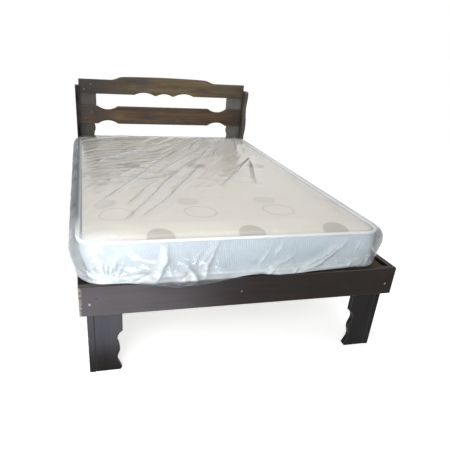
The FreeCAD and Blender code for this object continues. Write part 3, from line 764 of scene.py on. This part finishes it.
# Polyester yarn, knitted and then printed: matt, a little downy, with soft edges to the print.
ticking, tree = new_material("knitted_ticking")
coords = add(tree, "TexCoord")
knit = add(tree, "TexNoise", {"Vector": coords.outputs["Object"], **KNIT})
printed = add(tree, "Mix", {"Factor": knit.outputs[0], 6: linear("#dcd7cd"), 7: linear("#e8e4db")},
              data_type="RGBA")
for middle, pitch, radius, line, strength, colour in PRINT.values():
    first = [0.5 - spot / wide for spot, wide in zip(middle, pitch)]
    cell = add(tree, "Mapping", {"Vector": coords.outputs["Object"], "Location": (*first, 0),
                                 "Scale": (1 / pitch[0], 1 / pitch[1], 0)})
    inside = add(tree, "VectorMath", {0: cell.outputs[0]}, operation="FRACTION")
    centred = add(tree, "VectorMath", {0: inside.outputs[0], 1: (0.5, 0.5, 0)}, operation="SUBTRACT")
    metric = add(tree, "VectorMath", {0: centred.outputs[0], 1: (*pitch, 0)}, operation="MULTIPLY")
    away = add(tree, "VectorMath", {0: metric.outputs[0]}, operation="LENGTH")
    edge = add(tree, "Math", {0: away.outputs["Value"], 1: radius}, operation="SUBTRACT")
    if line:
        edge = add(tree, "Math", {0: edge.outputs[0]}, operation="ABSOLUTE")
    ink = add(tree, "MapRange", {"Value": edge.outputs[0], "From Min": line + PRINT_SOFT,
                                 "From Max": line - PRINT_SOFT, "To Max": strength})
    printed = add(tree, "Mix", {"Factor": ink.outputs[0], 6: printed.outputs[2], 7: linear(colour)},
                  data_type="RGBA")
stitch = add(tree, "Bump", {"Height": knit.outputs[0], "Strength": 0.3, "Distance": 0.002})
skin = add(tree, "BsdfPrincipled", {"Base Color": printed.outputs[2], "Normal": stitch.outputs[0],
                                    "Roughness": 0.85, "Sheen Weight": 0.15})
add(tree, "OutputMaterial", {"Surface": skin.outputs[0]})
print("print:", ", ".join(PRINT))

# %% Rib knit and tape
# The threads of the tape are about 1 mm apart, too fine to show, so they are drawn coarser.
RIB_MM = 9.0
TWILL_MM = 6.0
TWILL_TURN = 0.8
# At this scale the wave texture has one band in each unit.
ONE_BAND = 1 / 3.1831

# Yarn knitted in ribs and bonded to thin foam: soft upright ridges, with painted shade in the furrows.
rib_knit, tree = new_material("rib_knit_border")
coords = add(tree, "TexCoord")
rib_at = add(tree, "Mapping", {"Vector": coords.outputs["UV"], "Scale": [1000 / RIB_MM, 0, 0]})
rib = add(tree, "TexWave", {"Vector": rib_at.outputs[0], "Scale": ONE_BAND},
          wave_type="BANDS", bands_direction="X")
yarn = add(tree, "TexNoise", {"Vector": coords.outputs["Object"], **KNIT})
pale = add(tree, "Mix", {"Factor": yarn.outputs[0], 6: linear("#c0cdd6"), 7: linear("#ccd8e0")},
           data_type="RGBA")
# Painted shade: the furrows between the ribs are darkened.
furrow_shade = add(tree, "MapRange", {"Value": rib.outputs[1], "To Min": 0.91, "To Max": 1.02})
ribbed = add(tree, "Mix", {"Factor": 1.0, 6: pale.outputs[2], 7: furrow_shade.outputs[0]},
             data_type="RGBA", blend_type="MULTIPLY")
rib_bump = add(tree, "Bump", {"Height": rib.outputs[1], "Strength": 0.4, "Distance": 0.002})
skin = add(tree, "BsdfPrincipled", {"Base Color": ribbed.outputs[2], "Normal": rib_bump.outputs[0],
                                    "Roughness": 0.75, "Sheen Weight": 0.2})
add(tree, "OutputMaterial", {"Surface": skin.outputs[0]})

# Polyester, woven as a narrow twill: white, with fine slanted lines and a faint gloss.
tape_cloth, tree = new_material("woven_white_tape")
coords = add(tree, "TexCoord")
twill_at = add(tree, "Mapping", {"Vector": coords.outputs["UV"], "Rotation": (0, 0, TWILL_TURN),
                                 "Scale": [1000 / TWILL_MM] * 3})
twill = add(tree, "TexWave", {"Vector": twill_at.outputs[0], "Scale": ONE_BAND, "Distortion": 1.0},
            wave_type="BANDS", bands_direction="X")
white = add(tree, "Mix", {"Factor": twill.outputs[1], 6: linear("#e3e5e6"), 7: linear("#f4f5f5")},
            data_type="RGBA")
thread = add(tree, "Bump", {"Height": twill.outputs[1], "Strength": 0.3, "Distance": 0.001})
skin = add(tree, "BsdfPrincipled", {"Base Color": white.outputs[2], "Normal": thread.outputs[0],
                                    "Roughness": 0.7})
add(tree, "OutputMaterial", {"Surface": skin.outputs[0]})

# The base piping wears the border's darker cloth: painted shade.
for piece, material in (("quilted_top", ticking), ("base_pad", ticking), ("ribbed_border", rib_knit),
                        ("top_piping", tape_cloth), ("base_piping", rib_knit)):
    bpy.data.objects[piece].data.materials.append(material)
print("cloth finishes: ticking, rib knit, tape")

# %% [markdown]
# ## The top of the bag
#
# The bag is thin clear polythene. It is gathered at the head, and from there long folds run over
# the mattress to the front left, while short ones lie across them on the left, where the film is
# slack. The film is a height over the top of the mattress: a tight skin plus folds. The folds
# that can be told apart are drawn one by one as ridges along a line. Folds too fine for the mesh
# are left to the finish, so each point keeps its place along and across them as an attribute. It
# also keeps how hazy the film is there, with white haze added as painted highlight where it is lit,
# and how much painted shade darkens its steep flanks, its bunched layers and its matted back right.

# %% Folds of the top, in millimetres
LONG_FOLDS = [
    [(-20, 390), (-43, 340), (-346, -284), (-496, -581), (-600, -780)],
    [(60, 160), (8, 59), (-166, -267), (-345, -656), (-443, -864)],
    [(40, -30), (5, -103), (-226, -580), (-385, -843)],
    [(-20, 280), (-47, 241), (-257, 4), (-451, -280), (-540, -420)],
    [(400, 160), (359, 90), (118, -321), (60, -430)],
    [(385, 150), (377, 120), (245, -369)],
    [(340, 690), (300, 614), (59, 118), (-30, -60)],
    [(20, 600), (-17, 559), (-282, 367), (-516, 59), (-580, -60)],
    [(400, 730), (366, 659), (173, 212)],
    [(-100, 480), (-149, 441), (-382, 235), (-541, 86)],
    [(-120, -150), (-164, -221), (-323, -466), (-412, -667)],
    [(66, 243), (-69, 59), (-200, -150)],
    [(160, 640), (40, 420), (-140, 130)],
    [(250, 800), (180, 660), (60, 380)],
    [(480, 820), (420, 560), (330, 240)],
]
SHORT_FOLDS = [
    [(-608, -45), (-479, 32), (-375, 87)], [(-610, -165), (-511, -96), (-410, -72)],
    [(-598, 171), (-465, 264), (-370, 298)], [(-567, -455), (-479, -342), (-441, -302)],
    [(-602, 357), (-457, 396), (-330, 420)], [(-362, 469), (-249, 510), (-120, 540)],
    [(-379, -261), (-298, -195)], [(-601, -297), (-507, -235), (-430, -210)],
    [(-377, 144), (-283, 236), (-171, 303)], [(-590, 520), (-430, 560), (-260, 600)],
    [(-600, 90), (-500, 150), (-400, 190)], [(-590, 680), (-400, 700), (-200, 760)],
    [(-600, -400), (-540, -350)], [(-480, 470), (-330, 560)], [(-560, 270), (-420, 340)],
]
print("folds of the top:", len(LONG_FOLDS), "long,", len(SHORT_FOLDS), "short")

# %% Ridges along lines
FADE_FROM, FADE_OVER = 0.04, 0.92


def ridge(x, y, line, wide):
    """Fold along a line of spots: (1 - d / wide) * sin(pi t)^0.5, d being the distance to the line.

    t goes along the line, so the fold fades at its ends. The flank on the left of the line is
    twice as wide as the one on its right, as if it had slumped over. The height is given, and
    its share on that steep right flank.
    """
    line = np.array(line) / 1000
    x, y = np.broadcast_arrays(x, y)
    run = np.concatenate([[0], np.cumsum(np.linalg.norm(np.diff(line, axis=0), axis=1))])
    best = np.zeros_like(x)
    steep = np.zeros_like(x)
    for start, stop, before in zip(line[:-1], line[1:], run):
        long = np.linalg.norm(stop - start)
        way = (stop - start) / long
        along = np.clip((x - start[0]) * way[0] + (y - start[1]) * way[1], 0, long)
        off_x = x - start[0] - along * way[0]
        off_y = y - start[1] - along * way[1]
        slumped = way[0] * off_y - way[1] * off_x > 0
        fade = np.sin(np.pi * (FADE_FROM + FADE_OVER * (before + along) / run[-1])) ** 0.5
        high = fade * np.clip(1 - np.hypot(off_x, off_y) / np.where(slumped, 2 * wide, wide), 0, 1)
        best = np.maximum(best, high)
        steep = np.maximum(steep, np.where(slumped, 0, high))
    return best, steep


def pleats(x, y, lines, high, wide):
    """Height of many folds and the share of their steep flanks, the larger one where they cross."""
    made = [ridge(x, y, line, wide) for line in lines]
    heights = [fold for fold, steep in made]
    flanks = [steep for fold, steep in made]
    return high * np.max(heights, axis=0), np.max(flanks, axis=0)


def keep(piece, name, *parts):
    """Keep one number or three of each point as an attribute of the piece, for its finish to read."""
    values = np.stack(np.broadcast_arrays(*parts), axis=-1).astype(np.float32).ravel()
    if len(parts) == 1:
        piece.data.attributes.new(name, "FLOAT", "POINT").data.foreach_set("value", values)
    else:
        piece.data.attributes.new(name, "FLOAT_VECTOR", "POINT").data.foreach_set("vector", values)


print("folds fade to", round(math.sin(math.pi * FADE_FROM) ** 0.5, 2), "of their height")

# %% Form of the top
FILM_OFF = 0.003
FILM_HALF = HALF + FILM_OFF
FILM_CORNER = CORNER + FILM_OFF
FILM_RIM = SEAM_TOP + TAPE_RADIUS + 0.0015
FILM_CROWN = PAD_CROWN + SWELL_CAP - TAPE_RADIUS + 0.004
FILM_EDGE = PAD_EDGE + 0.02
FILM_GRID = (240, 380)
TIGHT_WIDE = 0.06
FOLD_SHIFT = (-0.012, -0.014)
SWAY_FAR, SWAY_WIDE = 0.004, 0.12
LONG_HIGH, LONG_WIDE = 0.012, 0.020
SHORT_HIGH, SHORT_WIDE = 0.0065, 0.014
RIPPLE_HIGH, RIPPLE_WIDE, RIPPLE_SHARP = 0.0012, (0.14, 0.16), 5
# Small folds are thinner, so their steep flanks get less painted shade.
SMALL_SHADE = 0.7

film_x, film_y = rounded_grid(*FILM_HALF, FILM_CORNER, *FILM_GRID)
film_in = inset(film_x, film_y, *FILM_HALF, FILM_CORNER)
skin_z = FILM_RIM + FILM_CROWN * np.sqrt(1 - (1 - np.clip(film_in / FILM_EDGE, 0, 1)) ** 2)
sway_x = film_x + MIDDLE[0] + FOLD_SHIFT[0] + SWAY_FAR * hills(film_x / SWAY_WIDE, film_y / SWAY_WIDE, 21)
sway_y = film_y + MIDDLE[1] + FOLD_SHIFT[1] + SWAY_FAR * hills(film_x / SWAY_WIDE, film_y / SWAY_WIDE, 22)
long_z, long_steep = pleats(sway_x, sway_y, LONG_FOLDS, LONG_HIGH, LONG_WIDE)
short_z, short_steep = pleats(sway_x, sway_y, SHORT_FOLDS, SHORT_HIGH, SHORT_WIDE)
inland = ramp(film_in, 0.0, TIGHT_WIDE)
crest = np.maximum(long_z, short_z) / LONG_HIGH * inland
doubled_shade = np.maximum(long_steep, SMALL_SHADE * short_steep) * inland
ripples = creases(film_x / RIPPLE_WIDE[0], film_y / RIPPLE_WIDE[1], 24, RIPPLE_SHARP)
folds = LONG_HIGH * crest + RIPPLE_HIGH * ripples * inland
ids = np.arange(film_x.size).reshape(film_x.shape)
bag_top = mesh_piece("bag_top", placed(film_x, film_y, skin_z + folds), quads(ids), "mattress")

# %% Haze and fine folds of the top
HAZE = 0.05
GREY_FROM_Y = (-0.93, -0.65)
# Direction of the fine folds, and the length and width of one.
LONG_WAY, LONG_CELL = (0.52, 0.85), (0.75, 0.06)
SHORT_WAY, SHORT_CELL = (0.93, 0.37), (0.4, 0.042)
LONG_FAINT, LONG_STRONG = 0.08, 0.34
SHORT_STRONG = 0.42
CREST_HIGHLIGHT, SLACK_HAZE = 0.4, 0.05
LEFT_HAZE, RIGHT_HAZE, CORNER_HIGHLIGHT = 0.8, 0.55, 0.45
RIM_GREY = 0.8

# Short folds lie where the film is slack, long ones where it is pulled to the head.
slack = ramp(-film_x, 0.0, 0.35) * ramp(film_y, -0.65, -0.1)
pulled = ramp(film_y - 0.9 * film_x, -0.4, 0.5) * ramp(film_y, -0.75, 0.1)
keep(bag_top, "long_fold", (LONG_WAY[0] * film_x + LONG_WAY[1] * film_y) / LONG_CELL[0],
     (LONG_WAY[1] * film_x - LONG_WAY[0] * film_y) / LONG_CELL[1], LONG_FAINT + LONG_STRONG * pulled)
keep(bag_top, "short_fold", (SHORT_WAY[0] * film_x + SHORT_WAY[1] * film_y) / SHORT_CELL[0],
     (SHORT_WAY[0] * film_y - SHORT_WAY[1] * film_x) / SHORT_CELL[1], SHORT_STRONG * slack)
# The film is hazier along both long edges, and white haze is added as painted highlight on its lit crests and
# at the front left corner.
left_edge = ramp(-film_x, FILM_HALF[0] - 0.022, FILM_HALF[0] - 0.008)
right_edge = ramp(film_x, FILM_HALF[0] - 0.040, FILM_HALF[0] - 0.012)
left_corner = ramp(-film_x, 0.30, 0.58) * ramp(-film_y, 0.84, 0.93)
edges = np.maximum(RIGHT_HAZE * right_edge, CORNER_HIGHLIGHT * left_corner)
edges = np.maximum(LEFT_HAZE * left_edge, edges)
# Painted highlight: white haze on the crests, except on their shaded steep flanks.
lit_crest = CREST_HIGHLIGHT * np.clip(crest - doubled_shade, 0, 1)
keep(bag_top, "haze_and_highlight", HAZE + lit_crest + SLACK_HAZE * slack + edges)
# Painted shade greys it along the left rim and darkens it on steep flanks; at the back right crinkles mat it,
# so it mirrors less and is darkened by painted shade.
left_rim = ramp(-film_x, FILM_HALF[0] - 0.024, FILM_HALF[0] - 0.014)
keep(bag_top, "bunched_shade", RIM_GREY * left_rim * ramp(film_y, *GREY_FROM_Y))
keep(bag_top, "doubled_shade", doubled_shade)
keep(bag_top, "matted_and_shaded", pulled * ramp(film_x, -0.15, 0.2))
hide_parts("mattress_bag")
print("kept by the top:", ", ".join(kept.name for kept in bag_top.data.attributes if not kept.is_internal))

# %% [markdown]
# ## The sides of the bag
#
# Below the rim the film hangs loose. On the left it puffs out over the side rail, at the foot it
# lies on the rail and one slack stretch hangs over the rail's front, and on the other sides it goes
# straight down. Then it tucks in under the mattress. Each side has its own profile, a list of spots
# (out, height) from the rim down, and round the corners the profiles are mixed by the outward
# direction. Random creases and a wavy lower edge keep the plastic from looking pressed. High on the
# left and at the right front corner painted shade makes the film greyer.

# %% Profiles of the sides, in millimetres
STEPS = np.array([0, 0.05, 0.12, 0.22, 0.34, 0.46, 0.56, 0.64, 0.72, 0.78, 0.84, 0.91, 1])
STRAIGHT_DOWN = np.array([0, 7, 24, 51, 84, 111, 131, 144, 153, 159, 164, 167, 168])
PROFILES = {
    "left": ([0, 12, 23, 31, 35, 36, 36, 35, 28, 16, 7, 0, -100],
             [0, 5, 20, 46, 78, 110, 136, 150, 152, 153, 153, 165, 168]),
    "right": ([0, 12, 20, 24, 23, 20, 17, 14, 12, 10, 6, 0, -100], STRAIGHT_DOWN),
    "back": ([0, 5, 9, 11, 11, 10, 9, 8, 8, 7, 5, 0, -100], STRAIGHT_DOWN),
    "rest": ([0, 8, 14, 20, 27, 34, 40, 45, 44, 32, 22, 12, -100],
             [0, 6, 22, 51, 86, 118, 142, 151, 153, 153, 153, 165, 168]),
    "hang": ([0, 10, 18, 26, 34, 43, 50, 53, 53, 50, 24, 12, -100],
             [0, 6, 24, 56, 92, 124, 144, 158, 183, 154, 153, 165, 168]),
}
# How far the film lies on the foot rail and hangs over it along x, and puffs out on the left along y.
LIES_AT = [-0.613, -0.544, -0.473, -0.412, -0.064, 0.012, 0.053, 0.118, 0.203, 0.288, 0.377, 0.466, 0.52]
LIES_SHARE = [0.8, 0.88, 0.96, 1.0, 1.0, 0.7, 0.62, 1.0, 0.98, 0.7, 0.5, 0.2, 0.0]
HANG_AT = [-0.473, -0.412, -0.357, -0.281, -0.204, -0.127, -0.064, 0.012, 0.118, 0.203]
HANG_SHARE = [0.0, 0.2, 0.52, 0.86, 0.77, 0.4, 0.05, 0.0, 0.08, 0.0]
PUFF_AT = [-0.95, -0.5, 0.0, 0.5, 0.9, 0.95]
PUFF_SHARE = [0.9, 1.0, 1.08, 1.12, 1.1, 0.9]
print("profiles:", ", ".join(PROFILES))

# %% Folds of the front, in millimetres from below upwards
FRONT_FOLDS = [
    [(-557, 434), (-573, 480)], [(-548, 434), (-546, 487)], [(-542, 433), (-529, 482)],
    [(-536, 431), (-508, 477)], [(-533, 426), (-485, 497)], [(-525, 421), (-470, 474)],
    [(-563, 430), (-595, 473)], [(-571, 426), (-622, 466)], [(-221, 460), (-182, 511)],
    [(-387, 443), (-451, 434)], [(-371, 451), (-443, 411)], [(-199, 454), (-137, 527)],
    [(-272, 390), (-292, 368), (-317, 393)], [(44, 444), (87, 509)], [(450, 477), (473, 526)],
    [(70, 402), (98, 431)], [(101, 441), (183, 479)], [(259, 410), (286, 442)],
    [(275, 440), (363, 503)], [(220, 424), (326, 471)], [(429, 407), (443, 431)],
    [(109, 482), (139, 527)], [(515, 406), (517, 461)], [(176, 407), (201, 425)],
]
BROAD_FOLDS = [
    [(-383, 402), (-347, 441), (-314, 483), (-302, 539)], [(-207, 388), (-227, 433), (-242, 470)],
    [(-241, 445), (-281, 407)], [(210, 410), (300, 440), (400, 520)],
    [(-190, 410), (-160, 470), (-120, 540)],
]
# How high in metres, how many round the bag, in a metre down, slanted by how many, and the seed.
WAVES = {
    "billow": (0.005, 26, 9, 0, 31),
    "drape": (0.004, 60, 16, 7, 32),
    "sharp": (0.004, 60, 10, 7, 33),
    "fine": (0.002, 150, 22, -20, 34),
    "hem": (0.004, 70, 12, 0, 35),
    "sway": (0.006, 140, 30, 0, 36),
    # Uneven spread of the painted grey shade on the sides.
    "uneven_shade": (0.1, 90, 6, 0, 37),
}
CREASE_SHARP = 3


def wave(name, turn, drop, form=hills, *sharp):
    """Waves of the hanging film: high * form(turn * around + drop * slant, drop * down)."""
    high, around, down, slant, seed = WAVES[name]
    return high * form(turn * around + drop * slant, drop * down, seed, *sharp, around)


print("folds of the front:", len(FRONT_FOLDS), "narrow,", len(BROAD_FOLDS), "broad")

# %% Profiles mixed round the bag
SIDE_AROUND = 1280
SIDE_ROWS = 64
FRONT_ONLY = -0.5
# Film that hangs over the rail reaches out sooner than it drops.
OUT_SOONER = 3

spot, out, run, length = outline(*FILM_HALF, FILM_CORNER, SIDE_AROUND)
step = np.linspace(0, 1, SIDE_ROWS)
turn = run / length
to_left = np.clip(-out[0], 0, 1) ** 2
to_right = np.clip(out[0], 0, 1) ** 2
to_back = np.clip(out[1], 0, 1) ** 2
to_front = np.clip(-out[1], 0, 1) ** 2
shapes = {name: [np.interp(step, STEPS, np.array(row) / 1000)[:, None] for row in rows]
          for name, rows in PROFILES.items()}
hang = np.interp(MIDDLE[0] + spot[0], HANG_AT, HANG_SHARE) * (out[1] < FRONT_ONLY)
lies = np.interp(MIDDLE[0] + spot[0], LIES_AT, LIES_SHARE)
puff = np.interp(spot[1], PUFF_AT, PUFF_SHARE)
parts = []
for part, over in ((0, np.minimum(1, OUT_SOONER * hang)), (1, hang)):
    back = shapes["back"][part]
    rest = shapes["right"][part] + (shapes["rest"][part] - shapes["right"][part]) * lies
    front = rest + (shapes["hang"][part] - shapes["rest"][part]) * over
    left = back + (shapes["left"][part] - back) * puff
    parts.append(to_left * left + to_right * shapes["right"][part] + to_back * back + to_front * front)
away, drop = parts
print("film stands out by up to", round(float(away.max()) * 1000, 1), "mm")

# %% Form of the sides
FRONT_HIGH, FRONT_WIDE = 0.008, 0.010
BROAD_HIGH, BROAD_WIDE = 0.012, 0.020
LEFT_CALM = 0.75

# The film is loose between the rim and the tuck, less so on the left.
loose = (ramp(step, 0.0, 0.14) * ramp(-step, -0.74, -0.6))[:, None] * (1 - LEFT_CALM * to_left)
billow = wave("billow", turn, drop) + wave("drape", turn, drop)
folds = wave("sharp", turn, drop, creases, CREASE_SHARP) + wave("fine", turn, drop, creases, CREASE_SHARP)
z = FILM_RIM - drop + wave("hem", turn, drop) * loose
# Drawn folds lie on the front only, and their wide flanks face left, to the window.
facing = ramp(-out[1], 0.3, 0.9) * ramp(step, 0.0, 0.1)[:, None] * ramp(-step, -0.76, -0.7)[:, None]
sway_x = MIDDLE[0] + spot[0] + wave("sway", turn, drop)
front_z, front_steep = pleats(sway_x, z, FRONT_FOLDS, FRONT_HIGH, FRONT_WIDE)
broad_z, broad_steep = pleats(sway_x, z, BROAD_FOLDS, BROAD_HIGH, BROAD_WIDE)
drawn = np.maximum(front_z, broad_z) * facing
doubled_shade = np.maximum(SMALL_SHADE * front_steep, broad_steep) * facing
away = away + billow * loose + np.maximum(folds * loose, drawn)
x = spot[0] + away * out[0]
y = spot[1] + away * out[1]
ids = np.arange(z.size).reshape(z.shape)
ids = np.hstack([ids, ids[:, :1]])
bag_side = mesh_piece("bag_side", placed(x, y, z), quads(ids, True), "mattress")

# %% Haze and fine folds of the sides
MOST_HAZE = 0.95
FLAP_HAZE, FLAP_GREY, FLAP_SOONER = 0.3, 0.8, 6
FLANK_HIGHLIGHT, GLARE_HIGHLIGHT = 0.3, 0.12
TUCK_HAZE, TUCK_MORE, TUCK_GREY = 0.2, 0.25, 0.4
BAND_GREY, BAND_MORE, PATCH_GREY = 0.42, 0.4, 0.85
SIDE_CELL, SIDE_FAINT, SIDE_STRONG = (0.11, 0.045), 0.12, 0.25
SMALL_CELL, SMALL_STRONG = (0.035, 0.03), 0.18

low = ramp(drop, 0.03, 0.12) * (1 - 0.8 * to_left)
keep(bag_side, "long_fold", (x - y + 0.6 * drop) / SIDE_CELL[0], (drop - 0.35 * (x - y)) / SIDE_CELL[1],
     SIDE_FAINT + SIDE_STRONG * low)
keep(bag_side, "short_fold", (x - y) / SMALL_CELL[0], drop / SMALL_CELL[1], SMALL_STRONG * low)
# Painted shade greys the film in a band high on the left and in a patch at the right front corner.
below_rim = np.maximum(ramp(step, 0.0, 0.06)[:, None], ramp(spot[1], *GREY_FROM_Y) * (out[0] < 0))
left_band = (BAND_GREY + BAND_MORE * ramp(spot[1], -0.95, -0.55)) * ramp(-step, -0.46, -0.24)[:, None]
right_patch = PATCH_GREY * ramp(-spot[1], 0.6, 0.85) * ramp(-step, -0.75, -0.4)[:, None]
bunched_shade = left_band * to_left + right_patch * to_right
bunched_shade = bunched_shade * below_rim * (0.9 + wave("uneven_shade", turn, drop))
# At the front white haze is added as painted glare where the film is lit and on the lit flanks of its folds;
# the film is also hazy where it is tucked in and on the hanging flap.
flap = ramp(drop, 0.145, 0.157) * np.minimum(1, FLAP_SOONER * hang)
# Painted glare: white haze on the front left, where the window light falls.
glare = GLARE_HIGHLIGHT * ramp(-spot[0] - MIDDLE[0], 0.1, 0.5) * to_front
tucked = TUCK_HAZE + TUCK_MORE * ramp(spot[0] + MIDDLE[0], -0.45, -0.2)
tucked = tucked * ramp(drop, 0.085, 0.14) * to_front
# Painted highlight on the wide, lit flanks of the drawn folds.
lit_flank = FLANK_HIGHLIGHT * np.clip(drawn / FRONT_HIGH - doubled_shade, 0, 1)
haze_and_highlight = HAZE + (lit_flank + glare + tucked) * (1 - flap) + FLAP_HAZE * flap + bunched_shade
keep(bag_side, "haze_and_highlight", np.clip(haze_and_highlight, 0, MOST_HAZE))
keep(bag_side, "doubled_shade", doubled_shade)
# Painted shade: grey where bunched, and also where tucked in and on the hanging flap.
keep(bag_side, "bunched_shade", bunched_shade + TUCK_GREY * tucked * (1 - flap) + FLAP_GREY * flap)
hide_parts("mattress_bag")
print("kept by the sides:", ", ".join(kept.name for kept in bag_side.data.attributes if not kept.is_internal))

# %% [markdown]
# ## Clear polythene
#
# Polythene film is blown as a thin tube: clear, a little milky, and glossy. Most light goes straight
# through, a small share is scattered by the haze, and the surface mirrors the room more the flatter
# it is looked at. So it is a transparent shader with some white mixed in, under a gloss that a
# Fresnel node mixes in. More white is mixed in as painted highlight where the film is lit. Painted
# shade makes the white greyer where the film is bunched, and darkens the film on the steep flanks of
# folds, along its creases and at the crinkled back right. Crumpled film is flat between its creases,
# which is what the distances in a Voronoi texture look like: stretched cells, laid along the kept
# fold directions, raise the surface. Where many crinkles mat the film it mirrors less. What the film
# scatters still falls on the mattress, so to shadow rays it is simply clear.

# %% Creases of the film
CREASE_RISE = 0.016
CRINKLE_MM = 30.0
CRINKLE_RISE = 0.003

film, tree = new_material("clear_polythene_film")
coords = add(tree, "TexCoord")
heights = []
for name in ("long_fold", "short_fold"):
    place = add(tree, "Attribute", attribute_name=name)
    weight = add(tree, "SeparateXYZ", {0: place.outputs["Vector"]})
    cell = add(tree, "TexVoronoi", {"Vector": place.outputs["Vector"], "Scale": 1.0, "Detail": 1.0,
                                    "Roughness": 0.4}, voronoi_dimensions="2D", feature="F1")
    heights.append(add(tree, "Math", {0: cell.outputs["Distance"], 1: weight.outputs[2]},
                       operation="MULTIPLY"))
raised = add(tree, "Math", {0: heights[0].outputs[0], 1: heights[1].outputs[0]}, operation="ADD")
crinkle = add(tree, "TexNoise", {"Vector": coords.outputs["Object"], "Scale": 1000 / CRINKLE_MM,
                                 "Detail": 4.0, "Roughness": 0.6})
pressed = add(tree, "Bump", {"Height": crinkle.outputs[0], "Strength": 0.25, "Distance": CRINKLE_RISE})
folded = add(tree, "Bump", {"Height": raised.outputs[0], "Strength": 1.0, "Distance": CREASE_RISE,
                            "Normal": pressed.outputs[0]})
print("kinds of crease:", len(heights))

# %% Haze and gloss of the film
FILM_IOR = 1.37
FULLY_GREY = 0.85

layers = {name: add(tree, "Attribute", attribute_name=name).outputs["Fac"]
          for name in ("bunched_shade", "doubled_shade", "matted_and_shaded", "haze_and_highlight")}
path = add(tree, "LightPath")
lit = add(tree, "Math", {0: 1.0, 1: path.outputs["Is Shadow Ray"]}, operation="SUBTRACT")
# Painted shade: greyer where bunched, darker on steep flanks, along creases and at the crinkled back right.
grey_shade = add(tree, "MapRange", {"Value": layers["bunched_shade"], "From Max": FULLY_GREY})
flank_shade = add(tree, "MapRange", {"Value": layers["doubled_shade"], "To Min": 1.0, "To Max": 0.66})
back_shade = add(tree, "MapRange", {"Value": layers["matted_and_shaded"], "To Min": 1.0, "To Max": 0.96})
shade = add(tree, "MapRange", {"Value": raised.outputs[0], "From Min": 0.25, "From Max": 0.7,
                               "To Min": 0.97, "To Max": 0.84})
smooth = add(tree, "MapRange", {"Value": grey_shade.outputs[0], "To Min": 1.0, "To Max": 0.2})
crinkled = add(tree, "MapRange", {"Value": layers["matted_and_shaded"], "To Min": 1.0, "To Max": 0.4})

# Blown film, cooled in air: the haze is a matt white, turned grey by painted shade where bunched, and the
# rest lets light through.
milk_and_shade = add(tree, "Mix", {"Factor": grey_shade.outputs[0], 6: linear("#ecf1f3"), 7: linear("#62666f")},
           data_type="RGBA")
milk_and_shade = add(tree, "Mix", {"Factor": 1.0, 6: milk_and_shade.outputs[2], 7: flank_shade.outputs[0]},
           data_type="RGBA", blend_type="MULTIPLY")
skin = add(tree, "BsdfPrincipled", {"Base Color": milk_and_shade.outputs[2], "Normal": folded.outputs[0],
                                    "Roughness": 0.6, "Specular IOR Level": 0.0})
mirror = add(tree, "Fresnel", {"IOR": FILM_IOR, "Normal": folded.outputs[0]})
for dimming in (flank_shade, back_shade):
    shade = add(tree, "Math", {0: shade.outputs[0], 1: dimming.outputs[0]}, operation="MULTIPLY")
for dimming in (lit, smooth, crinkled):
    mirror = add(tree, "Math", {0: mirror.outputs[0], 1: dimming.outputs[0]}, operation="MULTIPLY")
through = add(tree, "BsdfTransparent", {"Color": shade.outputs[0]})
whitening = add(tree, "Math", {0: layers["haze_and_highlight"], 1: lit.outputs[0]}, operation="MULTIPLY")
milky_and_highlight = add(tree, "MixShader", {0: whitening.outputs[0], 1: through.outputs[0], 2: skin.outputs[0]})
gloss = add(tree, "BsdfGlossy", {"Color": linear("#ffffff"), "Roughness": 0.16, "Normal": folded.outputs[0]})
clear = add(tree, "MixShader", {0: mirror.outputs[0], 1: milky_and_highlight.outputs[0], 2: gloss.outputs[0]})
add(tree, "OutputMaterial", {"Surface": clear.outputs[0]})
for piece in (bag_top, bag_side):
    piece.data.materials.append(film)
print("film on", bag_top.name, "and", bag_side.name)
